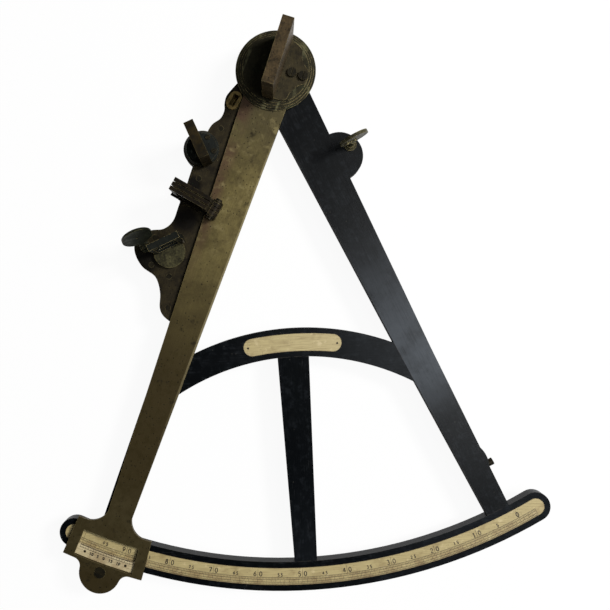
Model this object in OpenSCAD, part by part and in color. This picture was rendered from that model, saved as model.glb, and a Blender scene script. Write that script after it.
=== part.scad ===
// Reflecting quadrant (octant) with an ebony frame, a brass index arm, an inlaid bone scale,
// fore and back horizon glasses, swinging shades and two sight vanes.
// It lies on its back: +Z is up, the index arm turns about the Z axis, and the arc is towards -Y.
// Angles along the arc are counted from -Y, positive towards +X.

/* [Frame] */
// Radius from the pivot to the outer edge of the arc limb
arc_outer_r = 411.5; // [380:0.5:440]
// Radial width of the arc limb
arc_w = 23; // [22:0.5:27]
// Angle from the middle to the centre of each round end of the arc limb
arc_end_angle = 27.3; // [26.5:0.1:29]
// Angle of each side limb from the middle
limb_angle = 23.1; // [22.6:0.1:23.6]
// Width of a side limb, measured at the pivot
limb_top_w = 35.4; // [32:0.2:38]
// Width of a side limb at the crossbar, where its edges bend a little
limb_bar_w = 23.9; // [22:0.1:26]
// Width of a side limb where it meets the arc limb
limb_foot_w = 18.7; // [17:0.1:21]
// How far outward the limb's foot lies from the limb's middle line
limb_foot_shift = 1.6; // [0:0.1:2]
// Thickness of the frame
frame_t = 10; // [9:0.5:12]
// Distance from the pivot to the upper edge of the crossbar
bar_top_d = 203.2; // [190:0.2:212]
// Width of the crossbar in the middle
bar_w = 22.7; // [19:0.1:25]
// Radius of the crossbar's upper edge
bar_top_r = 205; // [198:1:230]
// Radius of the crossbar's lower edge
bar_low_r = 187; // [175:1:200]
// Width of the strut at the crossbar
strut_top_w = 25; // [18:0.5:28]
// Width of the strut at the arc limb
strut_foot_w = 17.8; // [14:0.2:20]
// Width of each tenon
tenon_w = 12; // [8:0.5:14]
// Thickness of each tenon
tenon_t = 4; // [2:0.5:4]
// Length of each tenon
tenon_len = 8; // [5:0.5:10]
// Gap at each joint between two pieces of wood
seam = 0.05; // [0.02:0.01:0.1]

/* [Feet] */
// Height of the frame's back over the table
foot_h = 16; // [15:0.5:22]
// Radius of a limb foot's flange
foot_r = 9.6; // [8:0.2:10]
// Distance of each limb foot from the arc limb
foot_to_arc = 38; // [36:1:58]
// Outer radius of the cup that covers the centre nut and is the third foot
cup_r = 17.5; // [17:0.5:20]

/* [Inlays] */
// Radial width of the degree scale
scale_w = 13.4; // [11:0.2:15]
// Distance from the arc limb's outer edge to the degree scale
scale_inset = 4.7; // [4:0.1:6]
// Thickness of the degree scale and of the nameplate
inlay_t = 2; // [1:0.1:2.6]
// Gap round an inlay
inlay_gap = 0.05; // [0.03:0.01:0.15]
// Length of the nameplate
plate_len = 78; // [60:1:90]
// Height of the nameplate
plate_h = 14; // [10:0.5:16]
// Radius that the nameplate is bent to
plate_bend_r = 240; // [210:5:300]

/* [Wing and sockets] */
// Thickness of the brass plate on the wing
wing_plate_t = 1.6; // [1:0.1:1.8]
// Length of the slot that takes the shade bracket's tongue
slot_len = 10; // [8:0.5:12]
// Width of that slot
slot_w = 4.6; // [4.2:0.1:5.2]
// Clearance between the tongue and its slot, all round
slot_clear = 0.08; // [0.05:0.01:0.2]

/* [Index arm] */
// Angle of the arm at rest, to the left of the middle
arm_rest = 22.9; // [18:0.1:23.2]
// Thickness of the arm
arm_t = 2.8; // [2:0.2:3.6]
// Space between the frame's face and the arm
arm_gap = 2.2; // [2.1:0.1:3]
// Radius of the arm's round head
arm_head_r = 29; // [26:0.5:30]
// Width of the arm near its head
arm_top_w = 36; // [30:0.2:37]
// Width of the arm just above its foot
arm_foot_w = 19.2; // [15:0.2:20]
// Width of the foot across the middle of the arc limb
foot_plate_w = 63.5; // [56:0.5:66]
// Width of the window in the foot, across the middle of the arc limb
window_w = 47.2; // [40:0.2:50]
// Radius of the fillets between the arm and its foot
foot_fillet_r = 15; // [6:0.5:16]
// Radius of the lobe under the window
lobe_r = 16.6; // [15:0.2:18]
// Radius of the fillets between the foot and its lobe
lobe_fillet_r = 7; // [4:0.5:9]
// Radius of the centre pin
pin_r = 5.95; // [5:0.05:6.5]
// Radial running clearance of the centre pin and of the spindles
run_clear = 0.05; // [0.02:0.01:0.1]
// Radius of the turned disc over the centre
disc_r = 31.6; // [30:0.1:32]
// Height of the turned disc
disc_h = 5; // [4:0.2:6]

/* [Index mirror] */
// Length of the mirror's frame
mirror_len = 50.4; // [42:0.2:52]
// Thickness of the mirror's frame
mirror_t = 8.9; // [7:0.1:9.4]
// Height of the mirror's frame
mirror_h = 42; // [34:0.5:46]
// Turn of the mirror from the arm's line
mirror_turn = 1.5; // [0:0.1:4]
// Thickness of every mirror and horizon glass
glass_t = 2.6; // [2:0.1:3]

/* [Horizon glasses] */
// Radius of the fore glass's turned base
fore_base_r = 13.6; // [13:0.2:15]
// Length of the fore glass's frame
fore_len = 29; // [26:0.5:30]
// Thickness of the fore glass's frame
fore_t = 7.6; // [5.6:0.1:8]
// Turn of the fore glass's plane from the middle
fore_turn = 20.7; // [15:0.1:25]
// Radius of the back glass's half-round base
back_base_r = 12.5; // [11.5:0.1:12.6]
// Length of the back glass's frame
back_len = 25.2; // [22:0.2:25.6]
// Thickness of the back glass's frame
back_t = 5.2; // [5:0.1:6]
// Turn of the back glass's plane from the X axis
back_turn = 21.6; // [18:0.1:25]
// Height of both horizon glass frames
horizon_h = 36; // [30:0.5:38]
// Radius of both spindles
spindle_r = 3.95; // [3:0.05:4.5]
// Length of the levers on the back
lever_len = 42; // [30:1:44]

/* [Shades] */
// Length of a shade frame
shade_len = 31.4; // [28:0.2:32]
// Height of a shade frame
shade_high = 29; // [26:0.5:30]
// Thickness of a shade frame
shade_t = 3; // [2.6:0.1:3.2]
// Gap between two shade frames
shade_gap = 0.6; // [0.4:0.1:0.8]
// Turn of the shades' plane from the X axis
shade_turn = -33.2; // [-38:0.1:-30]

/* [Sight vanes] */
// Radius of the fore vane's disc
fore_vane_r = 11.5; // [10:0.5:12]
// Turn of the fore vane at rest, from the X axis
fore_vane_turn = 23.7; // [0:0.1:40]
// Radius of the back vane's disc
back_vane_r = 12; // [10:0.1:12.4]
// Lean of the back vane at rest, from upright
back_vane_lean = 18; // [0:0.5:40]
// Turn of the back vane's hinge from the X axis
back_vane_turn = 21; // [15:0.5:27]
// Radius of a sight hole
pinhole_r = 0.8; // [0.5:0.1:1]

/* [Clamp] */
// Radius of the thumbscrew's head
thumb_r = 9; // [7:0.5:10]
// Radius of the thumbscrew's shank
thumb_shank_r = 2.5; // [2:0.1:3]

/* [Hidden] */
$fn = 72;

// Colours
ebony = [0.09, 0.095, 0.1];
bone = [0.78, 0.71, 0.52];
brass = [0.52, 0.45, 0.27];
dull_brass = [0.36, 0.32, 0.21];
silvered = [0.5, 0.54, 0.56];
shade_colours = [[0.55, 0.08, 0.05], [0.35, 0.04, 0.03], [0.08, 0.3, 0.12]];

// Heights
z_back = foot_h;
z_face = z_back + frame_t;
z_plate = z_face + wing_plate_t;
z_arm = z_face + arm_gap;
z_arm_top = z_arm + arm_t;
z_disc = z_arm_top + disc_h;
air = 0.2;
z_base = z_plate + air;
fit = 0.05;
cut = 1;
big = 700;

// Frame
arc_inner_r = arc_outer_r - arc_w;
arc_mid_r = arc_outer_r - arc_w / 2;
bar_low_d = bar_top_d + bar_w;
head_r = 29;
bar_mid_r = (bar_top_r + bar_low_r) / 2;
bar_centre_d = (bar_top_d + bar_top_r + bar_low_d + bar_low_r) / 2;
// Where the crossbar's middle line meets the inner edge of a limb, measured along the limb
bar_joint_d = bar_centre_d * cos(limb_angle)
    - sqrt(bar_mid_r ^ 2 - (bar_centre_d * sin(limb_angle) - limb_bar_w / 2) ^ 2);
z_tenon = z_back + (frame_t - inlay_t - tenon_t) / 2;

// Limb feet and the peg on the right limb's edge
foot_d = arc_inner_r - foot_to_arc;
foot_shift = 1.3;
foot_pin_r = 3;
foot_pin_top = z_back + 6;
peg_d = arc_inner_r - 35.5;
peg_r = 2.8;
peg_in = 7;
peg_out = 16;

// The low bump on the right limb's outer edge above the peg
bump_r = 20.8;
bump_out = 12.8;
bump_d = arc_inner_r - 43;

// Inlays
scale_r = arc_outer_r - scale_inset - scale_w / 2;
plate_mid_d = (bar_top_d + bar_low_d) / 2;
plate_end_angle = asin((plate_len - plate_h) / 2 / plate_bend_r);
plate_pin_angle = plate_end_angle + asin(plate_h / 4 / plate_bend_r);
pin_small_r = 0.7;

// Centre
bush_r = 9;
bush_flange_r = 15;
bush_flange_t = arm_gap - air;
pin_boss_r = 9;
pin_end_r = 4;
washer_t = 1.6;
washer_r = 12;
centre_nut_r = 8;
nut_h = 4.4;
cup_floor = 2;
cup_wall = 3;
cup_flange_r = 22;
cup_flange_t = 1.6;
cup_screw_d = 19.8;
cup_screw_r = 1.7;
cup_shank_r = 1;
disc_steps = 4;
disc_step_w = 1.8;

// Places on the frame
fore_at = [-61.9, -57];
back_at = [-92.5, -137];
shade_at = [-54.5, -106.5];
socket_from_pivot = 21;
fore_socket_at = [-34.2, -20.4];
back_socket_at = shade_at - socket_from_pivot * [cos(shade_turn), sin(shade_turn)];
fore_vane_at = [55.4, -61.2];
fore_lobe_at = [46.3, -69];
fore_lobe_r = 18.9;
back_vane_at = [-111.7, -131.3];
fore_lobe_left_r = 14.9;
wing_screw_at = [[-46, -41.5], [-66, -80], [-94.5, -156], [-97, -181], [-108, -146], [-104, -124.5]];
wing_screw_r = 2.1;
wing_shank_r = 1.2;
liner_wall = 2.4;
socket_wall = 2.6;
socket_rise = 2.4;
socket_floor = 1.2;

// The wing's free edge, from beside the pivot down to where it runs out into the limb
wing_edge = [
    [-27, -3], [-34.5, -10], [-40, -16], [-42, -22], [-42.5, -27.5], [-46, -33.5], [-53, -38],
    [-58, -46], [-62, -60], [-70, -71.5], [-74, -82], [-82.5, -98.5], [-88.5, -112],
    [-96.5, -118], [-106.5, -118.5], [-116, -121.5], [-120.5, -129], [-120, -138],
    [-115, -147.5], [-106.5, -154.5], [-103.5, -161], [-102.5, -170], [-103.5, -180],
    [-101.5, -186.5], [-96, -192], [-90, -196]
];
wing_back = [[-78, -196], [-40, -96], [-14, -36], [-20, -12]];
edge_steps = 5;

// Index arm, in its own frame: the arm runs along -Y from the pivot
foot_top_d = arc_inner_r - 4.1;
foot_end_d = arc_outer_r + 4.5;
foot_half_angle = asin(foot_plate_w / 2 / arc_mid_r);
window_top_d = arc_inner_r + 4;
window_end_d = arc_outer_r + 2;
window_half_angle = asin(window_w / 2 / arc_mid_r);
lobe_d = arc_outer_r + 8.5;
vernier_t = arm_gap - 0.4;
vernier_in_r = arc_outer_r - scale_inset - 2;
vernier_out_r = window_end_d + 1;
vernier_w = window_w + 5;
vernier_pin_angle = 2.4;
vernier_pin_r = 0.9;

// Clamp, in the arm's frame
clamp_w = 22;
clamp_top_d = arc_outer_r + 3.5;
clamp_end_d = clamp_top_d + 15;
clamp_plate_t = 2.5;
clamp_gap = 2.5;
clamp_screw_d = arc_mid_r;
shoe_t = 1.4;
shoe_r = 8;
shoe_gap = 0.35;
z_clamp = z_back - clamp_gap - clamp_plate_t;
lobe_screw_r = 4.4;
lobe_screw_shank_r = 2;

// Index mirror, in the arm's frame
mirror_at = [1.3, 1.2];
mirror_foot_t = 1.4;
tongue_y = -0.4;
flare_x = 30.7;
flare_y = 20.6;
flare_r = 16.4;
mirror_screw_x = [11.8, 20.8];
mirror_screw_r = 3.6;
screw_head_h = 2.4;
screw_shank_r = 1.6;
mirror_rim = 2;

// Horizon glasses
base_t = 3.8;
z_frame = z_base + base_t;
fore_shift = -0.8;
fore_rim = 4;
fore_seat = 2.4;
glass_inset = 0.4;
base_screw_x = 8;
base_screw_y = 6;
lever_t = 3;
lever_hub_r = 8;
lever_top_w = 10;
lever_low_w = 4.8;
lever_end_r = 4;
lever_hole_r = 1.2;
z_lever = z_back - air - lever_t;
back_plane_y = 5;
back_shift = 2.6;
back_post = 4.6;
back_screw_at = [back_shift + back_len / 2 - 1.6, back_plane_y - back_t / 2, z_frame + 8];
nut_r = 6;
wing_nut_span = 24;
wing_r = 3.7;
wing_t = 2.4;
fore_lever_turn = -limb_angle - fore_turn - 2;
back_lever_turn = -8 - back_turn;

// Shades, in their own frame: X along the glasses, Y through the stack, pivot at the origin
z_shade = z_face + 12.2;
lug_r = 4.2;
shade_right = -2.6;
shade_low = -4;
cheek_t = 1.4;
cheek_r = 3.8;
stack_half = 1.5 * shade_t + shade_gap;
cheek_in = stack_half + 0.4;
cheek_out = cheek_in + cheek_t;
shade_pin_r = 1.5;
shade_head_r = 2.6;
bracket_foot_x = [-30, -12.5];
bracket_end_x = shade_right - shade_len - 2.4;
bracket_plate_t = 1.4;
bracket_plate_top = z_shade - lug_r - 0.8;
shade_rim = 3.5;
shade_glass_t = 2;

// Sight vanes
vane_t = 2.6;
fore_vane_z = z_face + 26.5;
vane_stem_r = 2.4;
vane_flange_r = 4.8;
vane_collar_r = 3.4;
shutter_pivot_x = -6.5;
pinhole_rise = 3;
shutter_t = 1;
rivet_r = 0.8;
back_vane_z = z_plate + 4.6;
back_vane_reach = 20;
back_vane_t = 2;
ear_t = 1.4;
ear_in = 2;
ear_r = 2.4;
vane_pin_r = 0.95;

// A smooth run of points through p, with n steps between two neighbours
function blend(a, b, c, d, t) = 0.5 * (
    2 * b + (c - a) * t + (2 * a - 5 * b + 4 * c - d) * t ^ 2 + (3 * b - a - 3 * c + d) * t ^ 3
);
function smooth_run(p, n) = [
    for (i = [0:len(p) - 2], j = [0:n - 1])
        blend(p[max(i - 1, 0)], p[i], p[i + 1], p[min(i + 2, len(p) - 1)], j / n)
];
function on_arc(r, a) = [r * sin(a), -r * cos(a)];

module at_arm() { rotate([0, 0, -arm_rest]) children(); }
module at_place(p, turn) { translate([p.x, p.y, 0]) rotate([0, 0, turn]) children(); }
module at_fore() { at_place(fore_at, fore_turn) children(); }
module at_back() { at_place(back_at, back_turn) children(); }
module at_shades() { at_place(shade_at, shade_turn) children(); }
module at_fore_vane() { at_place(fore_vane_at, fore_vane_turn) children(); }
module at_back_vane() { at_place(back_vane_at, back_vane_turn) children(); }

// The mirror's place within the arm's frame
module at_mirror_local() {
    rotate([0, 0, mirror_turn]) translate([mirror_at.x, mirror_at.y, 0]) children();
}
module at_mirror() { at_arm() at_mirror_local() children(); }

// A cylinder from height z0 to height z1
module rod(r, z0, z1) { translate([0, 0, z0]) cylinder(r = r, h = z1 - z0); }

// A box from one corner to the other
module box(low, high) { translate(low) cube(high - low); }

// Each flat shape as a slab from height z0, t thick, all joined into one solid
module slabs(z0, t) {
    for (i = [0:$children - 1]) translate([0, 0, z0]) linear_extrude(t) children(i);
}

// A piece of a ring between the radii r0 and r1, drawn flat, to half_angle on both sides of -Y
module sector(r0, r1, half_angle) {
    intersection() {
        difference() {
            circle(r1);
            circle(r0);
        }
        polygon([[0, 0], on_arc(big, -half_angle), on_arc(big, half_angle)]);
    }
}

// A band of the arc with round ends, drawn flat
module arc_band(r, w, end_angle) {
    sector(r - w / 2, r + w / 2, end_angle);
    for (side = [-1, 1]) translate(on_arc(r, side * end_angle)) circle(w / 2);
}

// The right limb's inner edge in its own frame, from the pivot down, moved away from the limb by gap
function inner_edge(gap) = [
    [-limb_top_w / 2 - gap, 0],
    [-limb_bar_w / 2 - gap, -bar_joint_d],
    [limb_foot_shift - limb_foot_w / 2 - gap, -arc_inner_r]
];

// A side limb, drawn flat on the right, with its foot against the arc limb
module limb_shape() {
    rotate(limb_angle) polygon(concat(inner_edge(0), [
        [limb_foot_shift + limb_foot_w / 2, -arc_inner_r],
        [limb_bar_w / 2, -bar_joint_d],
        [limb_top_w / 2, 0]
    ]));
}

module limb_bump() {
    rotate(limb_angle) intersection() {
        translate([bump_out - bump_r, -bump_d]) circle(bump_r);
        translate([0, -bump_d - bump_r]) square([bump_r, 2 * bump_r]);
    }
}

module frame_half() {
    intersection() {
        union() {
            limb_shape();
            circle(head_r);
            children();
        }
        translate([seam / 2, -big]) square([big, 2 * big]);
        circle(arc_inner_r - seam);
    }
}

module limb_foot_tenon() {
    rotate([0, 0, limb_angle]) translate([limb_foot_shift, -arc_inner_r, z_tenon])
        box([-tenon_w / 2, -tenon_len, 0], [tenon_w / 2, cut, tenon_t]);
}

// The tenon that joins the crossbar to the right limb
module bar_tenon() {
    edge = -limb_bar_w / 2;
    rotate([0, 0, limb_angle]) box(
        [edge - 2 * cut, -bar_joint_d - tenon_w / 2, z_tenon],
        [edge + tenon_len, -bar_joint_d + tenon_w / 2, z_tenon + tenon_t]
    );
}

module strut_tenon(d, reach) {
    box(
        [-tenon_w / 2, -d - max(reach, cut), z_tenon],
        [tenon_w / 2, -d + max(-reach, cut), z_tenon + tenon_t]
    );
}

module foot_place() {
    rotate([0, 0, limb_angle]) translate([foot_shift, -foot_d, 0]) children();
}

module centre_bore(r) { rod(r, z_back - cut, z_face + cut); }

module limb_cuts() {
    centre_bore(bush_r + fit);
    bar_tenon();
    foot_place() rod(foot_pin_r + fit, z_back - cut, foot_pin_top + fit);
    cup_screws(fit);
}

module right_limb() {
    color(ebony) difference() {
        union() {
            translate([0, 0, z_back]) linear_extrude(frame_t)
                frame_half() {
                    translate(fore_lobe_at) circle(fore_lobe_r);
                    limb_bump();
                }
            limb_foot_tenon();
        }
        limb_cuts();
        at_fore_vane() centre_bore(vane_stem_r + liner_wall);
        peg_body(fit);
    }
}

module wing_shape() { polygon(concat(smooth_run(wing_edge, edge_steps), wing_back)); }

module wing_outline() {
    wing_shape();
    translate(fore_at) circle(fore_lobe_left_r);
}

module left_limb() {
    color(ebony) difference() {
        union() {
            translate([0, 0, z_back]) linear_extrude(frame_t)
                mirror([1, 0]) frame_half() mirror([1, 0]) wing_outline();
            mirror([1, 0, 0]) limb_foot_tenon();
        }
        mirror([1, 0, 0]) limb_cuts();
        for (p = [fore_at, back_at]) translate([p.x, p.y, 0]) centre_bore(spindle_r + liner_wall);
        socket_body(fore_socket_at, fit);
        socket_body(back_socket_at, fit);
        wing_screws(fit);
        back_vane_spigot(fit);
    }
}

module bay_shape() {
    intersection_for (side = [0, 1]) mirror([side, 0]) rotate(limb_angle)
        polygon(concat(inner_edge(seam), [[-big, -arc_inner_r], [-big, 0]]));
}

module crossbar() {
    color(ebony) difference() {
        union() {
            translate([0, 0, z_back]) linear_extrude(frame_t) intersection() {
                difference() {
                    translate([0, -bar_top_d - bar_top_r]) circle(bar_top_r);
                    translate([0, -bar_low_d - bar_low_r]) circle(bar_low_r);
                }
                bay_shape();
            }
            for (side = [0, 1]) mirror([side, 0, 0]) bar_tenon();
        }
        strut_tenon(bar_low_d, -tenon_len);
        translate([0, 0, z_face - inlay_t]) linear_extrude(inlay_t + cut) nameplate_shape(0);
        nameplate_pin_set(fit);
    }
}

module strut() {
    color(ebony) union() {
        translate([0, 0, z_back]) linear_extrude(frame_t) intersection() {
            polygon([
                [-strut_top_w / 2, -bar_low_d + cut], [strut_top_w / 2, -bar_low_d + cut],
                [strut_foot_w / 2, -arc_inner_r - cut], [-strut_foot_w / 2, -arc_inner_r - cut]
            ]);
            translate([0, -bar_low_d - bar_low_r]) circle(bar_low_r - seam);
            circle(arc_inner_r - seam);
        }
        strut_tenon(bar_low_d, -tenon_len);
        strut_tenon(arc_inner_r, tenon_len);
    }
}

module arc_limb() {
    color(ebony) difference() {
        translate([0, 0, z_back]) linear_extrude(frame_t) arc_band(arc_mid_r, arc_w, arc_end_angle);
        translate([0, 0, z_face - inlay_t]) linear_extrude(inlay_t + cut)
            arc_band(scale_r, scale_w, arc_end_angle);
        for (side = [0, 1]) mirror([side, 0, 0]) limb_foot_tenon();
        strut_tenon(arc_inner_r, tenon_len);
    }
}

module degree_scale() {
    color(bone) translate([0, 0, z_face - inlay_t]) linear_extrude(inlay_t)
        arc_band(scale_r, scale_w - 2 * inlay_gap, arc_end_angle);
}

module nameplate_shape(gap) {
    translate([0, -plate_mid_d - plate_bend_r]) rotate(180)
        arc_band(plate_bend_r, plate_h - 2 * gap, plate_end_angle);
}

module nameplate_pin_set(gap) {
    translate([0, -plate_mid_d - plate_bend_r, 0]) for (side = [-1, 1])
        rotate([0, 0, side * plate_pin_angle]) translate([0, plate_bend_r, 0])
            rod(pin_small_r + gap, z_face - 5, z_face + gap);
}

module nameplate() {
    color(bone) difference() {
        translate([0, 0, z_face - inlay_t]) linear_extrude(inlay_t) nameplate_shape(inlay_gap);
        nameplate_pin_set(fit);
    }
}

module nameplate_pins() { color(brass) nameplate_pin_set(0); }

module wing_screws(gap) {
    for (p = wing_screw_at) translate([p.x, p.y, 0]) {
        rod(wing_screw_r + gap, z_plate - 1, z_plate + air);
        rod(wing_shank_r + gap, z_plate - 7, z_plate);
    }
}

module wing_plate() {
    color(dull_brass) difference() {
        translate([0, 0, z_face]) linear_extrude(wing_plate_t) intersection() {
            wing_outline();
            rotate(-limb_angle) translate([-big - 4, -big]) square([big, 2 * big]);
        }
        centre_bore(bush_flange_r + 2);
        for (p = [fore_at, back_at]) translate([p.x, p.y, 0])
            rod(spindle_r + liner_wall + fit, z_back, z_base + cut);
        socket_body(fore_socket_at, fit);
        socket_body(back_socket_at, fit);
        wing_screws(fit);
        back_vane_spigot(fit);
    }
}

module wing_plate_screws() { color(brass) wing_screws(0); }

module centre_bush() {
    color(brass) difference() {
        union() {
            rod(bush_r, z_back, z_face);
            rod(bush_flange_r, z_face, z_face + bush_flange_t);
        }
        rod(pin_r + run_clear, z_back - cut, z_arm);
    }
}

module cup_screws(gap) {
    for (a = [30, 150, 270]) rotate([0, 0, a]) translate([cup_screw_d, 0, 0]) {
        rod(cup_shank_r + gap, z_back - cup_flange_t, z_back + 4);
        rod(cup_screw_r + gap, z_back - cup_flange_t - 0.6, z_back - cup_flange_t + 0.4);
    }
}

module pivot_foot() {
    color(dull_brass) difference() {
        rotate_extrude() polygon([
            [0, 0], [cup_r - 2, 0], [cup_r - 1, 1], [cup_r, 4], [cup_r - 1, z_back - 5],
            [cup_r, z_back - cup_flange_t], [cup_flange_r, z_back - cup_flange_t], [cup_flange_r, z_back],
            [cup_r - cup_wall, z_back], [cup_r - cup_wall, cup_floor], [0, cup_floor]
        ]);
        cup_screws(fit);
    }
}

module pivot_foot_screws() { color(brass) cup_screws(0); }

module limb_feet() {
    color(dull_brass) for (side = [0, 1]) mirror([side, 0, 0]) foot_place() rotate_extrude() polygon([
        [0, 0], [6, 0], [7.4, 1.6], [7.4, 3.4], [5.4, 6], [5, 9], [6.4, z_back - 3.6],
        [foot_r, z_back - 2.4], [foot_r, z_back], [foot_pin_r, z_back],
        [foot_pin_r, foot_pin_top], [0, foot_pin_top]
    ]);
}

module peg_body(gap) {
    rotate([0, 0, limb_angle]) translate([peg_in - gap, -peg_d, z_back + frame_t / 2])
        rotate([0, 90, 0]) cylinder(r = peg_r + gap, h = peg_out - peg_in + gap);
}

module limb_peg() { color(dull_brass) peg_body(0); }

// A brass box let into the wing, with a blind slot for the tongue of the shade bracket
module socket_shape(gap) {
    for (side = [-1, 1]) translate([0, side * (slot_len / 2 - 2.4)]) circle(slot_w / 2 + socket_wall + gap);
    square([slot_w + 2 * socket_wall + 2 * gap, slot_len - 4.8], center = true);
}

module socket_body(p, gap) {
    translate([p.x, p.y, z_back - (gap > 0 ? cut : 0)]) rotate([0, 0, shade_turn])
        linear_extrude(frame_t + wing_plate_t + (gap > 0 ? 2 * cut : 0)) socket_shape(gap);
}

module shade_socket(p, rise) {
    difference() {
        translate([p.x, p.y, z_back]) rotate([0, 0, shade_turn])
            linear_extrude(frame_t + wing_plate_t + rise) socket_shape(0);
        translate([p.x, p.y, z_back + socket_floor]) rotate([0, 0, shade_turn])
            linear_extrude(frame_t + wing_plate_t + rise) square([slot_w, slot_len], center = true);
    }
}

module fore_shade_socket() { color(brass) shade_socket(fore_socket_at, socket_rise); }
module back_shade_socket() { color(brass) shade_socket(back_socket_at, 0); }

module spindle_liners() {
    color(brass) for (p = [fore_at, back_at]) translate([p.x, p.y, 0]) difference() {
        rod(spindle_r + liner_wall - fit, z_back, z_plate);
        rod(spindle_r + run_clear, z_back - cut, z_plate + cut);
    }
}

module fore_vane_liner() {
    color(brass) at_fore_vane() difference() {
        rod(vane_stem_r + liner_wall - fit, z_back, z_face);
        rod(vane_stem_r + run_clear, z_back - cut, z_face + cut);
    }
}

// Fills the corner between the arm's right edge and the foot's upper edge with a concave round
module foot_fillet() {
    x = arm_foot_w / 2 + foot_fillet_r;
    centre = [x, -sqrt((foot_top_d - foot_fillet_r) ^ 2 - x ^ 2)];
    touch = centre * foot_top_d / (foot_top_d - foot_fillet_r);
    difference() {
        polygon([
            [0, centre.y], centre, touch, touch - [0, cut], [0, -foot_top_d - cut]
        ]);
        translate(centre) circle(foot_fillet_r);
    }
}

// Fills the corner between the foot's lower edge and the right side of the lobe
module lobe_fillet() {
    from_pivot = foot_end_d + lobe_fillet_r;
    from_lobe = lobe_r + lobe_fillet_r;
    y = -(from_pivot ^ 2 - from_lobe ^ 2 + lobe_d ^ 2) / 2 / lobe_d;
    centre = [sqrt(from_pivot ^ 2 - y ^ 2), y];
    middle = [0, -lobe_d];
    difference() {
        polygon([
            [0, -foot_end_d + cut], centre * foot_end_d / from_pivot, centre,
            middle + (centre - middle) * lobe_r / from_lobe, middle
        ]);
        translate(centre) circle(lobe_fillet_r);
    }
}

module arm_slabs() {
    slabs(z_arm, arm_t) {
        circle(arm_head_r);
        polygon([
            [-arm_top_w / 2, -arm_head_r / 2], [arm_top_w / 2, -arm_head_r / 2],
            [arm_foot_w / 2, -foot_top_d - cut], [-arm_foot_w / 2, -foot_top_d - cut]
        ]);
        sector(foot_top_d, foot_end_d, foot_half_angle);
        translate([0, -lobe_d]) circle(lobe_r);
        foot_fillet();
        mirror([1, 0]) foot_fillet();
        lobe_fillet();
        mirror([1, 0]) lobe_fillet();
    }
}

module index_arm() {
    color(brass) at_arm() difference() {
        arm_slabs();
        translate([0, 0, z_arm - cut]) linear_extrude(arm_t + 2 * cut)
            sector(window_top_d, window_end_d, window_half_angle);
        rod(pin_boss_r + fit, z_arm - cut, z_arm_top + cut);
        lobe_screw(fit);
    }
}

module index_disc() {
    step_h = disc_h / disc_steps;
    color(dull_brass) at_arm() difference() {
        rotate_extrude() polygon(concat(
            [[0, z_arm_top]],
            [for (i = [0:disc_steps - 1], k = [0, 1])
                [disc_r - i * disc_step_w, z_arm_top + (i + k) * step_h]],
            [[0, z_disc]]
        ));
        mirror_screws(fit);
    }
}

module centre_pin() {
    z_end = z_back - air - washer_t - nut_h - 1;
    color(brass) at_arm() {
        rod(pin_boss_r, z_arm, z_arm_top);
        rod(pin_r, z_back - 0.1, z_arm);
        rod(pin_end_r, z_end, z_back - 0.1);
    }
}

module centre_washer() {
    color(brass) at_arm() difference() {
        rod(washer_r, z_back - air - washer_t, z_back - air);
        rod(pin_end_r + fit, 0, z_back);
    }
}

module centre_nut() {
    z_top = z_back - air - washer_t;
    color(dull_brass) at_arm() difference() {
        translate([0, 0, z_top - nut_h]) cylinder(r = centre_nut_r, h = nut_h, $fn = 6);
        rod(pin_end_r + fit, 0, z_back);
    }
}

module mirror_screws(gap) {
    at_mirror_local() for (x = mirror_screw_x) translate([x, tongue_y, 0])
        rod(screw_shank_r + gap, z_disc - 3, z_disc + mirror_foot_t + gap);
}

module index_mirror_foot() {
    half = mirror_len / 2 - 2;
    color(dull_brass) difference() {
        at_mirror() translate([0, 0, z_disc]) linear_extrude(mirror_foot_t) intersection() {
            difference() {
                translate([-mirror_t / 2 - 1.2, tongue_y - half]) square([big, 2 * half]);
                for (side = [-1, 1]) translate([flare_x, tongue_y + side * flare_y]) circle(flare_r);
            }
            translate(-mirror_at) circle(disc_r - disc_steps * disc_step_w + 1);
            translate([-big, -big]) square([big + flare_x - 2, 2 * big]);
        }
        at_arm() mirror_screws(fit);
    }
}

module index_mirror_frame() {
    z0 = z_disc + mirror_foot_t;
    half = mirror_len / 2;
    color(brass) at_mirror() difference() {
        box([-mirror_t / 2, -half, z0], [mirror_t / 2, half, z0 + mirror_h]);
        box(
            [-mirror_t / 2 - cut, -half + mirror_rim, z0 + mirror_rim],
            [-mirror_t / 2 + glass_t + 0.5, half - mirror_rim, z0 + mirror_h - mirror_rim]
        );
    }
}

module index_mirror() {
    z0 = z_disc + mirror_foot_t;
    half = mirror_len / 2;
    color(silvered) at_mirror() box(
        [-mirror_t / 2 + 0.5, -half + mirror_rim + fit, z0 + mirror_rim + fit],
        [-mirror_t / 2 + glass_t + 0.5, half - mirror_rim - fit, z0 + mirror_h - mirror_rim - fit]
    );
}

module index_mirror_screws() {
    color(dull_brass) at_arm() {
        mirror_screws(0);
        at_mirror_local() for (x = mirror_screw_x) translate([x, tongue_y, 0]) difference() {
            rod(mirror_screw_r, z_disc + mirror_foot_t, z_disc + mirror_foot_t + screw_head_h);
            box(
                [-0.4, -mirror_screw_r - cut, z_disc + mirror_foot_t + screw_head_h - 0.8],
                [0.4, mirror_screw_r + cut, z_disc + mirror_foot_t + screw_head_h + cut]
            );
        }
    }
}

module vernier_pin_set(gap) {
    for (side = [-1, 1]) translate(concat(on_arc(vernier_out_r - 5, side * vernier_pin_angle), [0]))
        rod(vernier_pin_r + gap, z_arm - vernier_t, z_arm + 0.1);
}

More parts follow.
